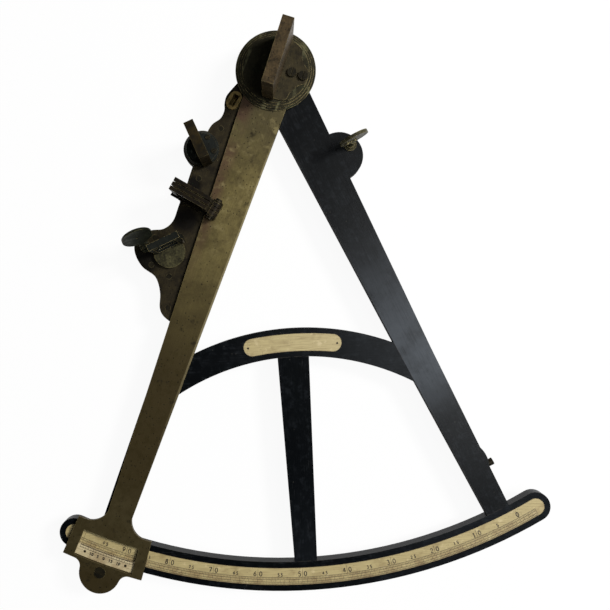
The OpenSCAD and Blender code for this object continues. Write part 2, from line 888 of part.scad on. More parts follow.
module vernier_plate() {
    color(bone) at_arm() difference() {
        translate([0, 0, z_arm - vernier_t]) linear_extrude(vernier_t) intersection() {
            difference() {
                circle(vernier_out_r);
                circle(vernier_in_r);
            }
            translate([-vernier_w / 2, -big]) square([vernier_w, big]);
        }
        vernier_pin_set(fit);
    }
}

module vernier_pins() { color(dull_brass) at_arm() vernier_pin_set(0); }

module lobe_screw(gap) {
    translate([0, -lobe_d, 0]) {
        rod(lobe_screw_shank_r + gap, z_arm - 9, z_arm_top);
        rod(lobe_screw_r + gap, z_arm_top - 0.8, z_arm_top + 0.7);
    }
}

module clamp_block() {
    color(brass) at_arm() difference() {
        union() {
            box([-clamp_w / 2, -clamp_end_d, z_clamp], [clamp_w / 2, -clamp_top_d, z_arm]);
            box(
                [-clamp_w / 2, -clamp_end_d, z_clamp],
                [clamp_w / 2, -clamp_screw_d, z_clamp + clamp_plate_t]
            );
            translate([0, -clamp_screw_d, 0]) rod(clamp_w / 2, z_clamp, z_clamp + clamp_plate_t);
        }
        translate([0, -clamp_screw_d, 0]) rod(thumb_shank_r + run_clear, z_clamp - cut, z_back);
        lobe_screw(fit);
    }
}

module clamp_block_screw() {
    color(dull_brass) at_arm() difference() {
        lobe_screw(0);
        translate([0, -lobe_d, 0])
            box([-lobe_screw_r - cut, -0.5, z_arm_top], [lobe_screw_r + cut, 0.5, z_arm_top + cut]);
    }
}

module clamp_shoe() {
    z_top = z_back - shoe_gap;
    color(dull_brass) at_arm() translate([0, -clamp_screw_d, 0]) difference() {
        rod(shoe_r, z_top - shoe_t, z_top);
        rod(thumb_shank_r + run_clear, z_top - shoe_t - cut, z_top - 0.6);
    }
}

module clamp_thumbscrew() {
    z_neck = z_clamp - 0.4;
    knurls = 24;
    color(brass) at_arm() translate([0, -clamp_screw_d, 0]) difference() {
        union() {
            rod(thumb_shank_r, z_neck, z_back - shoe_gap - 0.65);
            rod(4, z_neck - 2, z_neck);
            rod(thumb_r, z_neck - 6, z_neck - 2);
        }
        for (i = [0:knurls - 1]) rotate([0, 0, i * 360 / knurls]) translate([thumb_r + 0.5, 0, 0])
            rod(0.9, z_neck - 6 - cut, z_neck - 2 + cut);
    }
}

// Horizon glasses
module spindle() { rod(spindle_r, z_lever - 7, z_base); }

module base_screw_set(gap) {
    for (side = [-1, 1]) translate([base_screw_x, side * base_screw_y, 0])
        rod(1 + gap, z_base + 1, z_frame);
}

module fore_horizon_base() {
    color(dull_brass) at_fore() difference() {
        union() {
            rotate_extrude() polygon([
                [0, z_base], [fore_base_r, z_base], [fore_base_r, z_frame - 1.2],
                [fore_base_r - 1.4, z_frame], [0, z_frame]
            ]);
            spindle();
        }
        base_screw_set(fit);
    }
}

module fore_horizon_screws() {
    color(brass) at_fore() {
        base_screw_set(0);
        for (side = [-1, 1]) translate([base_screw_x, side * base_screw_y, 0]) difference() {
            rod(2, z_frame, z_frame + 1.2);
            box([-3, -0.3, z_frame + 0.6], [3, 0.3, z_frame + 2]);
        }
    }
}

module fore_horizon_frame() {
    half = fore_len / 2;
    x0 = fore_shift - fore_t / 2;
    x1 = fore_shift + fore_t / 2;
    color(brass) at_fore() difference() {
        box([x0, -half, z_frame], [x1, half, z_frame + horizon_h]);
        box(
            [x0 - cut, -half + fore_rim, z_frame + fore_rim],
            [x1 + cut, half - fore_rim, z_frame + horizon_h - fore_rim]
        );
        box(
            [x1 - glass_t - glass_inset, -half + fore_seat, z_frame + fore_seat],
            [x1 + cut, half - fore_seat, z_frame + horizon_h - fore_seat]
        );
    }
}

module fore_horizon_glass() {
    half = fore_len / 2 - fore_seat - fit;
    x1 = fore_shift + fore_t / 2 - glass_inset;
    color(silvered) at_fore() box(
        [x1 - glass_t, -half, z_frame + fore_seat + fit],
        [x1, half, z_frame + horizon_h - fore_seat - fit]
    );
}

// A lever on the back, fixed to its spindle and pointing along -Y of its own frame
module lever(turn) {
    rotate([0, 0, turn]) difference() {
        slabs(z_lever, lever_t) {
            circle(lever_hub_r);
            polygon([
                [-lever_top_w / 2, 0], [lever_top_w / 2, 0],
                [lever_low_w / 2, -lever_len], [-lever_low_w / 2, -lever_len]
            ]);
            translate([0, -lever_len]) circle(lever_end_r);
        }
        rod(spindle_r + fit, 0, z_back);
        translate([0, -lever_len, 0]) rod(lever_hole_r, 0, z_back);
    }
}

module wing_nut(turn) {
    z_top = z_lever - 0.05;
    wing_x = wing_nut_span / 2 - wing_r;
    rotate([0, 0, turn]) difference() {
        union() {
            rod(nut_r, z_top - nut_h, z_top);
            for (x = [-wing_x, wing_x]) translate([x, wing_t / 2, z_top - 0.6 - wing_r])
                rotate([90, 0, 0]) cylinder(r = wing_r, h = wing_t);
            box([-wing_x, -wing_t / 2, z_top - nut_h], [wing_x, wing_t / 2, z_top - 1]);
        }
        rod(spindle_r + fit, 0, z_back);
    }
}

module fore_horizon_lever() { color(brass) at_fore() lever(fore_lever_turn); }
module fore_horizon_nut() { color(dull_brass) at_fore() wing_nut(60); }
module back_horizon_lever() { color(brass) at_back() lever(back_lever_turn); }
module back_horizon_nut() { color(dull_brass) at_back() wing_nut(20); }

module back_horizon_base() {
    color(brass) at_back() {
        translate([0, 0, z_base]) linear_extrude(base_t) {
            intersection() {
                circle(back_base_r);
                translate([-big, -big]) square([2 * big, big + back_plane_y]);
            }
            translate([back_shift - back_len / 2, back_plane_y - back_t / 2]) square([back_len, back_t]);
        }
        spindle();
    }
}

module back_horizon_frame() {
    x0 = back_shift - back_len / 2;
    x1 = back_shift + back_len / 2;
    y0 = back_plane_y - back_t / 2;
    y1 = back_plane_y + back_t / 2;
    color(brass) at_back() difference() {
        box([x0, y0, z_frame], [x1, y1, z_frame + horizon_h]);
        box([x0 + 2.8, y0 - cut, z_frame + 3], [x1 - back_post, y1 + cut, z_frame + horizon_h - 2.4]);
        box(
            [x0 + 1.4, y1 - glass_t - glass_inset, z_frame + 1.6],
            [x1 - back_post + 1.4, y1 + cut, z_frame + horizon_h - 1.2]
        );
        back_screw_body(fit);
    }
}

module back_horizon_glass() {
    x0 = back_shift - back_len / 2 + 1.4 + fit;
    x1 = back_shift + back_len / 2 - back_post + 1.4 - fit;
    y1 = back_plane_y + back_t / 2 - glass_inset;
    color(silvered) at_back()
        box([x0, y1 - glass_t, z_frame + 1.6 + fit], [x1, y1, z_frame + horizon_h - 1.2 - fit]);
}

module back_screw_body(gap) {
    translate(back_screw_at + [0, 3.5, 0]) rotate([90, 0, 0]) cylinder(r = 0.9 + gap, h = 3.5);
}

module back_horizon_screw() {
    color(dull_brass) at_back() {
        back_screw_body(0);
        translate(back_screw_at) rotate([90, 0, 0]) cylinder(r = 2.2, h = 1.8);
    }
}

// Shades
module shade_bracket() {
    tongue_w = slot_w - 2 * slot_clear;
    tongue_len = slot_len - 2 * slot_clear;
    z_low = bracket_plate_top - bracket_plate_t;
    color(brass) at_shades() difference() {
        union() {
            box(
                [bracket_foot_x[0], -cheek_out, z_plate],
                [bracket_foot_x[1], cheek_out, bracket_plate_top]
            );
            box([bracket_end_x, -cheek_out, z_low], [cheek_r, cheek_out, bracket_plate_top]);
            box(
                [-socket_from_pivot - tongue_w / 2, -tongue_len / 2, z_back + socket_floor + air],
                [-socket_from_pivot + tongue_w / 2, tongue_len / 2, z_low]
            );
            for (y = [-cheek_out, cheek_in]) {
                box([-cheek_r, y, z_low], [cheek_r, y + cheek_t, z_shade]);
                translate([0, y + cheek_t, z_shade]) rotate([90, 0, 0]) cylinder(r = cheek_r, h = cheek_t);
            }
        }
        shade_pin(run_clear);
    }
}

module shade_pin(gap) {
    translate([0, cheek_out + cut, z_shade]) rotate([90, 0, 0])
        cylinder(r = shade_pin_r + gap, h = 2 * cheek_out + 2 * cut);
}

module shade_pivot_screw() {
    head_h = 1.8;
    color(brass) at_shades() {
        shade_pin(0);
        for (y = [-cheek_out - head_h - fit, cheek_out + fit]) translate([0, y + head_h, z_shade])
            rotate([90, 0, 0]) cylinder(r = shade_head_r, h = head_h);
    }
}

module shade_frame(i) {
    y0 = (i - 2) * (shade_t + shade_gap) - shade_t / 2;
    y1 = y0 + shade_t;
    x0 = shade_right - shade_len;
    z0 = z_shade + shade_low;
    color(brass) at_shades() difference() {
        union() {
            box([x0, y0, z0], [shade_right, y1, z0 + shade_high]);
            box([shade_right - cut, y0, z_shade - lug_r], [0, y1, z_shade + lug_r]);
            translate([0, y1, z_shade]) rotate([90, 0, 0]) cylinder(r = lug_r, h = shade_t);
        }
        box([x0 + shade_rim, y0 - cut, z0 + shade_rim],
            [shade_right - shade_rim, y1 + cut, z0 + shade_high - shade_rim]);
        box([x0 + shade_rim - 1, y1 - shade_glass_t, z0 + shade_rim - 1],
            [shade_right - shade_rim + 1, y1 + cut, z0 + shade_high - shade_rim + 1]);
        shade_pin(run_clear);
    }
}

module shade_glass(i) {
    y1 = (i - 2) * (shade_t + shade_gap) + shade_t / 2;
    inset = shade_rim - 1 + fit;
    z0 = z_shade + shade_low;
    color(shade_colours[i - 1]) at_shades() box(
        [shade_right - shade_len + inset, y1 - shade_glass_t, z0 + inset],
        [shade_right - inset, y1 - 0.1, z0 + shade_high - inset]
    );
}

// Sight vanes
module pinholes() {
    for (side = [-1, 1]) translate([0, vane_t, fore_vane_z + side * pinhole_rise])
        rotate([90, 0, 0]) cylinder(r = pinhole_r, h = 2 * vane_t);
}

module fore_sight_vane() {
    color(brass) at_fore_vane() difference() {
        union() {
            rod(vane_stem_r, z_back + 1, fore_vane_z - fore_vane_r + 2);
            rod(vane_flange_r, z_face + air, z_face + air + 1.4);
            rod(vane_collar_r, z_face + air, z_face + 5);
            translate([0, vane_t / 2, fore_vane_z]) rotate([90, 0, 0])
                cylinder(r = fore_vane_r, h = vane_t);
            translate([shutter_pivot_x, -vane_t / 2 + 0.5, fore_vane_z]) rotate([90, 0, 0])
                cylinder(r = rivet_r, h = 0.5 + shutter_t + 0.3);
        }
        pinholes();
    }
}

module fore_vane_shutter() {
    swing = atan(pinhole_rise / -shutter_pivot_x);
    reach = norm([pinhole_rise, shutter_pivot_x]);
    color(dull_brass) at_fore_vane() translate([shutter_pivot_x, -vane_t / 2 - 0.1, fore_vane_z])
        rotate([90, 0, 0]) rotate(-swing) linear_extrude(shutter_t) difference() {
            union() {
                circle(2.4);
                translate([0, -1.4]) square([reach, 2.8]);
                translate([reach, 0]) circle(2.2);
            }
            circle(rivet_r + run_clear);
        }
}

module back_vane_spigot(gap) {
    at_back_vane() rod(1.6 + gap, z_back + 2, z_plate + 0.5);
}

module back_vane_hinge(r) {
    translate([-ear_in - ear_t - cut, 0, back_vane_z]) rotate([0, 90, 0])
        cylinder(r = r, h = 2 * (ear_in + ear_t + cut));
}

module back_vane_stand() {
    color(brass) {
        back_vane_spigot(0);
        at_back_vane() difference() {
            union() {
                rod(4.6, z_plate, z_plate + 1.2);
                for (x = [-ear_in - ear_t, ear_in]) {
                    box([x, -ear_r, z_plate + 1], [x + ear_t, ear_r, back_vane_z]);
                    translate([x, 0, back_vane_z]) rotate([0, 90, 0]) cylinder(r = ear_r, h = ear_t);
                }
            }
            back_vane_hinge(vane_pin_r + run_clear);
        }
    }
}

module back_vane_pin() {
    half = ear_in + ear_t + fit;
    color(dull_brass) at_back_vane() {
        translate([-half - 0.8, 0, back_vane_z]) rotate([0, 90, 0])
            cylinder(r = vane_pin_r, h = 2 * half + 1.6);
        for (x = [-half - 0.8, half]) translate([x, 0, back_vane_z])
            rotate([0, 90, 0]) cylinder(r = 1.7, h = 0.8);
    }
}

module back_sight_vane() {
    lug_w = 2 * ear_in - 0.4;
    color(dull_brass) at_back_vane() translate([0, 0, back_vane_z])
        rotate([-back_vane_lean, 0, 0]) difference() {
        union() {
            translate([-lug_w / 2, 0, 0]) rotate([0, 90, 0]) cylinder(r = 2.2, h = lug_w);
            box(
                [-lug_w / 2, -back_vane_t / 2, 0],
                [lug_w / 2, back_vane_t / 2, back_vane_reach - back_vane_r + 1]
            );
            translate([0, back_vane_t / 2, back_vane_reach]) rotate([90, 0, 0])
                cylinder(r = back_vane_r, h = back_vane_t);
        }
        translate([-lug_w, 0, 0]) rotate([0, 90, 0]) cylinder(r = vane_pin_r + run_clear, h = 2 * lug_w);
        translate([0, back_vane_t, back_vane_reach]) rotate([90, 0, 0])
            cylinder(r = pinhole_r, h = 2 * back_vane_t);
    }
}

left_limb();
right_limb();
crossbar();
strut();
arc_limb();
degree_scale();
nameplate();
nameplate_pins();
wing_plate();
wing_plate_screws();
centre_bush();
pivot_foot();
pivot_foot_screws();
limb_feet();
limb_peg();
fore_shade_socket();
back_shade_socket();
spindle_liners();
fore_vane_liner();
index_arm();
index_disc();
centre_pin();
centre_washer();
centre_nut();
index_mirror_foot();
index_mirror_frame();
index_mirror();
index_mirror_screws();
vernier_plate();
vernier_pins();
clamp_block();
clamp_block_screw();
clamp_shoe();
clamp_thumbscrew();
fore_horizon_base();
fore_horizon_frame();
fore_horizon_glass();
fore_horizon_screws();
fore_horizon_lever();
fore_horizon_nut();
back_horizon_base();
back_horizon_frame();
back_horizon_glass();
back_horizon_screw();
back_horizon_lever();
back_horizon_nut();
shade_bracket();
shade_pivot_screw();
shade_frame(1);  // shade_frame_1
shade_frame(2);  // shade_frame_2
shade_frame(3);  // shade_frame_3
shade_glass(1);  // shade_glass_1
shade_glass(2);  // shade_glass_2
shade_glass(3);  // shade_glass_3
fore_sight_vane();
fore_vane_shutter();
back_vane_stand();
back_vane_pin();
back_sight_vane();
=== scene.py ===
"""Looks of a navigator's quadrant: an ebony frame, brass index arm, bone scale, mirrors and sights.

Lengths are in metres and angles in degrees unless a name, comment or property says otherwise.
The frame lies flat, the index arm turns about the origin and the arc is towards -Y.
"""

import math

import bpy
import numpy as np
from bpy.props import FloatProperty, FloatVectorProperty, IntProperty, PointerProperty
from bpy.types import Operator, Panel, PropertyGroup
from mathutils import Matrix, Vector


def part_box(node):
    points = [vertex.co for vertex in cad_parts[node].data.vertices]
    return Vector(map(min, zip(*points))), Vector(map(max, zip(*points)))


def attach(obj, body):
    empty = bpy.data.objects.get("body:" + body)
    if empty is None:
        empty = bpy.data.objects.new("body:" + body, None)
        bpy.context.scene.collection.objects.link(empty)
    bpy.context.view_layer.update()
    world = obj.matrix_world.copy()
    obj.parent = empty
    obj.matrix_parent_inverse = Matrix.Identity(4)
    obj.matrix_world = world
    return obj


bl_info = {
    "name": "Navigator's Quadrant",
    "version": (1, 0, 0),
    "blender": (4, 5, 0),
    "location": "3D View > Sidebar > Quadrant",
    "description": "Finishes and fine detail for a navigator's quadrant",
    "category": "Object",
}

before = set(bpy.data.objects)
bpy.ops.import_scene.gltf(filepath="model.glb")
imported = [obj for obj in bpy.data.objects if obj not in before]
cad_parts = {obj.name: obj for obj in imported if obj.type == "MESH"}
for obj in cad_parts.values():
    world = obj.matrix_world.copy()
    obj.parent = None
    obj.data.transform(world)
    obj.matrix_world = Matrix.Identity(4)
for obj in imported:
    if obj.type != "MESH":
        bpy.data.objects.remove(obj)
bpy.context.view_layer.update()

MM = 0.001

# How far the limbs lean to either side of straight down, and the index arm to the left.
LIMB_TURN = 23.1
ARM_TURN = 22.9

# The arm's right edge: its distance from the arm's middle line at the pivot, and how fast the arm narrows.
ARM_HALF_WIDTH = 18.35 * MM
ARM_TAPER = 0.0246

# Painted shadows on the wing plate, where the horizon glasses and the shades cast them: x, y and reach in
# millimetres.
WING_PAINTED_SHADOWS = ((-113.4, -143.1, 15), (-78.3, -112.2, 13), (-70.5, -84.0, 9))

# Distances from the pivot between which the bone's outer, much handled part begins.
HANDLED_BONE = (400.0 * MM, 402.5 * MM)

# Step from one turning mark on the disc to the next.
TURNING_STEP = 1.6 * MM

# How deep the filling of an engraved line reaches into the bone.
FILLING_DEPTH = 0.2 * MM

# The picture in pixels: its width, the lens's distance from it and the shift of its middle.
PICTURE_WIDTH = 610
LENS_DISTANCE = 729.8
PICTURE_SHIFT = (46.0, -6.21)

# The camera's place over the floor in millimetres, and its tilt.
CAMERA_PLACE = (-11.93, -179.6)
CAMERA_TILT = (0.056, 1.225)

# Half the floor's side, and the point that the lamps are turned towards.
FLOOR_REACH = 3.0
LAMP_AIM = (0.0, -0.2, 0.0)


def srgb(red, green, blue):
    """A colour given as screen values from 0 to 255, as the linear values that Blender stores."""
    share = np.array([red, green, blue]) / 255
    linear = np.where(share <= 0.04045, share / 12.92, ((share + 0.055) / 1.055) ** 2.4)
    return tuple(float(value) for value in linear)


def colour_property(name, description, shade):
    """A colour that the user can change."""
    return FloatVectorProperty(
        name=name, description=description, default=shade, subtype="COLOR", size=3, min=0, max=1
    )


def length_property(name, description, millimetres):
    """A length that the user can change, given in millimetres and kept in metres."""
    return FloatProperty(
        name=name, description=description, default=millimetres * MM, min=0, unit="LENGTH",
        subtype="DISTANCE", precision=5,
    )


def angle_property(name, description, degrees):
    """An angle that the user can change, given in degrees and kept in radians."""
    return FloatProperty(
        name=name, description=description, default=math.radians(degrees), unit="ROTATION", subtype="ANGLE"
    )


def power_property(name, description, watts):
    """The power of a lamp, in watts."""
    return FloatProperty(name=name, description=description, default=watts, min=0, unit="POWER")


class QuadrantColours(PropertyGroup):
    """Colours of the wood, metal, bone and ink."""

    ebony: colour_property("Ebony", "Body of the frame's wood", srgb(4, 6, 8))
    # The same colour serves the wood's real scuffs and its painted sheen.
    ebony_rubbed: colour_property("Rubbed ebony", "Rubbed and bleached parts of the wood", srgb(62, 67, 73))
    bone: colour_property("Bone", "Scale and nameplate", srgb(180, 165, 118))
    bone_pale: colour_property("Pale bone", "Vernier plate", srgb(206, 192, 154))
    bone_dirt: colour_property("Bone dirt", "Brown dirt in the bone", srgb(122, 102, 64))
    ink: colour_property("Ink", "Filling of the engraved lines", srgb(34, 26, 20))
    arm_brass: colour_property("Arm brass", "Light patches of the index arm", srgb(124, 112, 70))
    arm_dark: colour_property("Arm tarnish", "Tarnished patches of the index arm", srgb(82, 73, 44))
    disc_brass: colour_property("Disc brass", "Turned disc over the centre", srgb(52, 48, 33))
    wing_brass: colour_property("Wing brass", "Plate under the horizon glasses", srgb(60, 53, 36))
    worn_brass: colour_property("Worn brass", "Rubbed edges of the brass", srgb(134, 122, 84))
    tarnish: colour_property("Tarnish", "Darkest tarnish in corners and pits", srgb(22, 20, 14))


class QuadrantScale(PropertyGroup):
    """Sizes of the graduations and numerals on the scale and on the vernier."""

    zero_turn: angle_property("Zero turn", "Place of the zero line, right of straight down", 25.05)
    degree_turn: angle_property("Degree turn", "Turn of the arm for each degree read off", 0.5105)
    first_reading: IntProperty(name="First reading", description="Degree line at the right end", default=-4)
    last_reading: IntProperty(name="Last reading", description="Degree line at the left end", default=101)
    last_number: IntProperty(name="Last number", description="Highest reading with a number", default=95)
    line_width: length_property("Line width", "Width of an engraved line", 0.2)
    line_rise: length_property("Line rise", "Height of the filling over the bone", 0.015)
    ladder_inner: length_property("Ladder inner radius", "Radius of the innermost arc line", 400.9)
    ladder_outer: length_property("Ladder outer radius", "Radius of the outermost arc line", 406.1)
    inner_band: length_property("Inner band", "From the innermost arc line to the next", 1.7)
    outer_band: length_property("Outer band", "From the outermost arc line to the next", 1.6)
    tens_line: length_property("Tens line radius", "Where the lines through the tens begin", 394.6)
    numeral_radius: length_property("Numeral radius", "Radius of the middle of the numerals", 398.2)
    tens_height: length_property("Tens height", "Height of the numerals at the tens", 3.6)
    tens_pitch: length_property("Tens pitch", "From digit to digit at the tens", 4.7)
    tens_stroke: length_property("Tens stroke", "Width of the strokes at the tens", 0.68)
    fives_height: length_property("Fives height", "Height of the numerals at the fives", 2.3)
    fives_pitch: length_property("Fives pitch", "From digit to digit at the fives", 2.6)
    fives_stroke: length_property("Fives stroke", "Width of the strokes at the fives", 0.6)
    vernier_span: angle_property("Vernier span", "Turn from the vernier's first line to its last", 6.2)
    # The vernier's inner arc line is painted shade in the gap along the plate's edge.
    vernier_inner: length_property("Vernier inner radius", "Radius of the vernier's inner arc line", 405.2)
    vernier_outer: length_property("Vernier outer radius", "Radius of the vernier's outer arc line", 407.2)
    vernier_radius: length_property("Vernier numeral radius", "Middle of the vernier's numerals", 409.6)
    vernier_height: length_property("Vernier height", "Height of the vernier's numerals", 2.1)
    vernier_pitch: length_property("Vernier pitch", "From digit to digit on the vernier", 1.7)
    vernier_stroke: length_property("Vernier stroke", "Width of the strokes on the vernier", 0.68)


class QuadrantStage(PropertyGroup):
    """Camera, floor and light."""

    camera_height: length_property("Camera height", "Height of the camera over the floor", 606)
    camera_turn: angle_property("Camera turn", "Turn of the picture about the line of sight", -3.549)
    key_power: power_property("Key power", "Power of the main lamp", 42.0)
    fill_power: power_property("Fill power", "Power of the soft lamp", 7.5)
    floor_white: FloatProperty(
        name="Floor white", description="Share of plain white in the floor as it is seen", default=0.94,
        min=0, max=1, subtype="FACTOR",
    )


class Wiring:
    """A node tree with short ways to add nodes and to wire them."""

    def __init__(self, tree):
        self.tree = tree

    def feed(self, socket, value):
        """Links a socket or sets its plain value."""
        if isinstance(value, bpy.types.NodeSocket):
            self.tree.links.new(value, socket)
        else:
            if socket.type == "RGBA" and len(value) == 3:
                value = (*value, 1)
            socket.default_value = value

    def add(self, kind, inputs=None, **settings):
        """Adds a node with its settings, and feeds its inputs by name or number."""
        made = self.tree.nodes.new(kind)
        for key, value in settings.items():
            setattr(made, key, value)
        for key, value in (inputs or {}).items():
            self.feed(made.inputs[key], value)
        return made

    def mix(self, share, first, second):
        """The colour between two colours. The numbers are those of the node's colour sockets."""
        node = self.add("ShaderNodeMix", data_type="RGBA")
        self.feed(node.inputs[0], share)
        self.feed(node.inputs[6], first)
        self.feed(node.inputs[7], second)
        return node.outputs[2]

    def maths(self, operation, first, second=0.0):
        """One step of arithmetic."""
        return self.add("ShaderNodeMath", {0: first, 1: second}, operation=operation).outputs[0]

    def times(self, first, second):
        """The product of two masks."""
        return self.maths("MULTIPLY", first, second)

    def stain(self, colour, mask, amount, towards):
        """The colour, moved towards another where a mask says so, by an amount of up to 1."""
        return self.mix(self.times(mask, amount), colour, towards)

    def ramp(self, value, low, high, start=0.0, end=1.0):
        """A smooth step from start to end while the value goes from low to high."""
        node = self.add("ShaderNodeMapRange", interpolation_type="SMOOTHSTEP")
        for number, given in enumerate((value, low, high, start, end)):
            self.feed(node.inputs[number], given)
        return node.outputs[0]

    def vector(self, operation, first, second):
        """One step of arithmetic on vectors."""
        return self.add("ShaderNodeVectorMath", {0: first, 1: second}, operation=operation).outputs[0]

    def dot(self, point, direction):
        """How far a point lies along a direction."""
        node = self.add("ShaderNodeVectorMath", {0: point, 1: direction}, operation="DOT_PRODUCT")
        return node.outputs["Value"]

    def place(self):
        """The point on the object, in metres at rest."""
        return self.add("ShaderNodeTexCoord").outputs["Object"]

    def away(self, x=0.0, y=0.0):
        """How far a point lies from x, y, seen from above."""
        flat = self.vector("MULTIPLY", self.vector("SUBTRACT", self.place(), (x, y, 0)), (1, 1, 0))
        return self.add("ShaderNodeVectorMath", {0: flat}, operation="LENGTH").outputs["Value"]

    def along(self, turn):
        """How far down a point lies along a limb that leans to the left by turn degrees."""
        lean = math.radians(turn)
        return self.dot(self.place(), (-math.sin(lean), -math.cos(lean), 0))

    def across(self, turn):
        """How far a point lies to the right of the middle line of such a limb."""
        lean = math.radians(turn)
        return self.dot(self.place(), (math.cos(lean), -math.sin(lean), 0))

    def bump(self, height, strength, depth):
        """The surface's direction with a height worked into it."""
        inputs = {"Strength": strength, "Distance": depth, "Height": height}
        return self.add("ShaderNodeBump", inputs).outputs[0]

    def surface(self, inputs):
        """Ends a material in the shader with these inputs."""
        shader = self.add("ShaderNodeBsdfPrincipled", inputs)
        self.add("ShaderNodeOutputMaterial", {"Surface": shader.outputs[0]})


def new_material(name):
    """An empty node material, and the wiring to fill it."""
    material = bpy.data.materials.new(name)
    material.use_nodes = True
    material.node_tree.nodes.clear()
    return material, Wiring(material.node_tree)


def shared_mask(w, name, fill, inputs, given):
    """The mask of a shared node group with its own values. The group is built on its first use: fill wires it
    from its inputs, which are named with their defaults, and returns the mask."""
    group = bpy.data.node_groups.get(name)
    if group is None:
        group = bpy.data.node_groups.new(name, "ShaderNodeTree")
        for label, default in inputs.items():
            kind = "NodeSocketVector" if isinstance(default, tuple) else "NodeSocketFloat"
            group.interface.new_socket(label, in_out="INPUT", socket_type=kind).default_value = default
        group.interface.new_socket("Mask", in_out="OUTPUT", socket_type="NodeSocketFloat")
        inside = Wiring(group)
        inside.add("NodeGroupOutput", {"Mask": fill(inside, inside.add("NodeGroupInput").outputs)})
    return w.add("ShaderNodeGroup", given, node_tree=group).outputs["Mask"]


def fill_patches(w, given):
    """A noise in object space, cut to a mask between two levels."""
    moved = w.vector("ADD", w.place(), given["Shift"])
    inputs = {"Vector": moved, "Scale": given["Scale"], "Detail": 5.0, "Roughness": 0.6}
    noise = w.add("ShaderNodeTexNoise", inputs).outputs[0]
    return w.ramp(noise, given["From"], given["To"])


def fill_specks(w, given):
    """The near neighbourhood of scattered cell centres, kept only in some of the cells."""
    cells = w.add("ShaderNodeTexVoronoi", {"Vector": w.place(), "Scale": given["Scale"]}).outputs
    near = w.ramp(cells["Distance"], given["Size"], w.times(given["Size"], 0.4))
    chosen = w.maths("LESS_THAN", w.dot(cells["Color"], (1, 0, 0)), given["Share"])
    return w.times(near, chosen)


def fill_edges(w, given):
    """How far the surface's direction turns within a small radius, broken up by a noise."""
    rounded = w.add("ShaderNodeBevel", {"Radius": given["Radius"]}, samples=6).outputs[0]
    straight = w.dot(rounded, w.add("ShaderNodeNewGeometry").outputs["Normal"])
    turned = w.ramp(w.maths("SUBTRACT", 1.0, straight), 0.015, 0.16)
    noise = w.add("ShaderNodeTexNoise", {"Vector": w.place(), "Scale": 260.0, "Detail": 4.0}).outputs[0]
    kept = w.ramp(noise, w.maths("SUBTRACT", given["Broken"], 0.12), given["Broken"])
    return w.times(turned, kept)


def fill_streaks(w, given):
    """A noise stretched along a limb that leans by Turn, from 0 to 1."""
    inputs = {"Vector": w.place(), "Angle": given["Turn"]}
    turned = w.add("ShaderNodeVectorRotate", inputs, rotation_type="Z_AXIS").outputs[0]
    squeezed = w.add("ShaderNodeCombineXYZ", {"X": 1.0, "Y": given["Stretch"], "Z": 0.5}).outputs[0]
    thin = w.vector("MULTIPLY", turned, squeezed)
    inputs = {"Vector": thin, "Scale": given["Scale"], "Detail": 3.0}
    return w.add("ShaderNodeTexNoise", inputs).outputs[0]


def patches(w, scale, low, high, shift=(0.0, 0.0, 0.0)):
    """Soft patches. Shift moves the pattern, so that two kinds of patches differ."""
    inputs = {"Scale": 40.0, "From": 0.4, "To": 0.6, "Shift": (0.0, 0.0, 0.0)}
    given = {"Scale": scale, "From": low, "To": high, "Shift": shift}
    return shared_mask(w, "Patches", fill_patches, inputs, given)


def specks(w, scale, size, share):
    """Specks of a size, as a part of a cell, in a share of the cells."""
    inputs = {"Scale": 300.0, "Size": 0.25, "Share": 0.5}
    given = {"Scale": scale, "Size": size, "Share": share}
    return shared_mask(w, "Specks", fill_specks, inputs, given)


def edges(w, radius, broken=0.5):
    """Wear or dirt along the edges, within a radius. The lower broken is, the less it is broken up."""
    inputs = {"Radius": 0.6 * MM, "Broken": 0.5}
    given = {"Radius": radius, "Broken": broken}
    return shared_mask(w, "Edges", fill_edges, inputs, given)


def streaks(w, scale, stretch, turn):
    """Grain or brushing along a limb that leans to the left by turn degrees."""
    inputs = {"Scale": 900.0, "Stretch": 0.04, "Turn": 0.0}
    given = {"Scale": scale, "Stretch": stretch, "Turn": math.radians(turn)}
    return shared_mask(w, "Streaks", fill_streaks, inputs, given)


def aged_brass(name, light, dark, worn, tarnish, size=60.0, wear=0.7, turn=0.0, stains_and_painted_light=None):
    """Aged brass: patches of two tarnish colours, dark pits, brushing, worn edges and a piece's own marks,
    which include painted shadows on the wing plate and a painted highlight on the arm.
    """
    material, w = new_material(name)
    broad = patches(w, size, 0.36, 0.64)
    small = patches(w, size * 4.5, 0.42, 0.66, (0.31, 0.17, 0.0))
    colour = w.mix(w.times(w.maths("ADD", broad, small), 0.5), dark, light)
    brushed = streaks(w, 1400.0, 0.05, turn)
    colour = w.mix(w.ramp(brushed, 0.35, 0.75, 0.0, 0.35), colour, dark)
    # The piece's own marks; on the wing plate and the arm they include painted light.
    if stains_and_painted_light:
        colour = stains_and_painted_light(w, colour)
    pits = specks(w, 420.0, 0.3, 0.35)
    colour = w.stain(colour, pits, 0.75, tarnish)
    clouds = patches(w, size * 2.3, 0.6, 0.74, (0.7, 0.1, 0.0))
    colour = w.stain(colour, clouds, 0.7, tarnish)
    colour = w.stain(colour, edges(w, 0.7 * MM), wear, worn)
    w.surface({
        "Base Color": colour, "Metallic": 0.5, "Roughness": w.ramp(small, 0.0, 1.0, 0.56, 0.4),
        "Specular IOR Level": 0.15, "Normal": w.bump(w.maths("SUBTRACT", brushed, pits), 0.35, 0.12 * MM),
    })
    return material


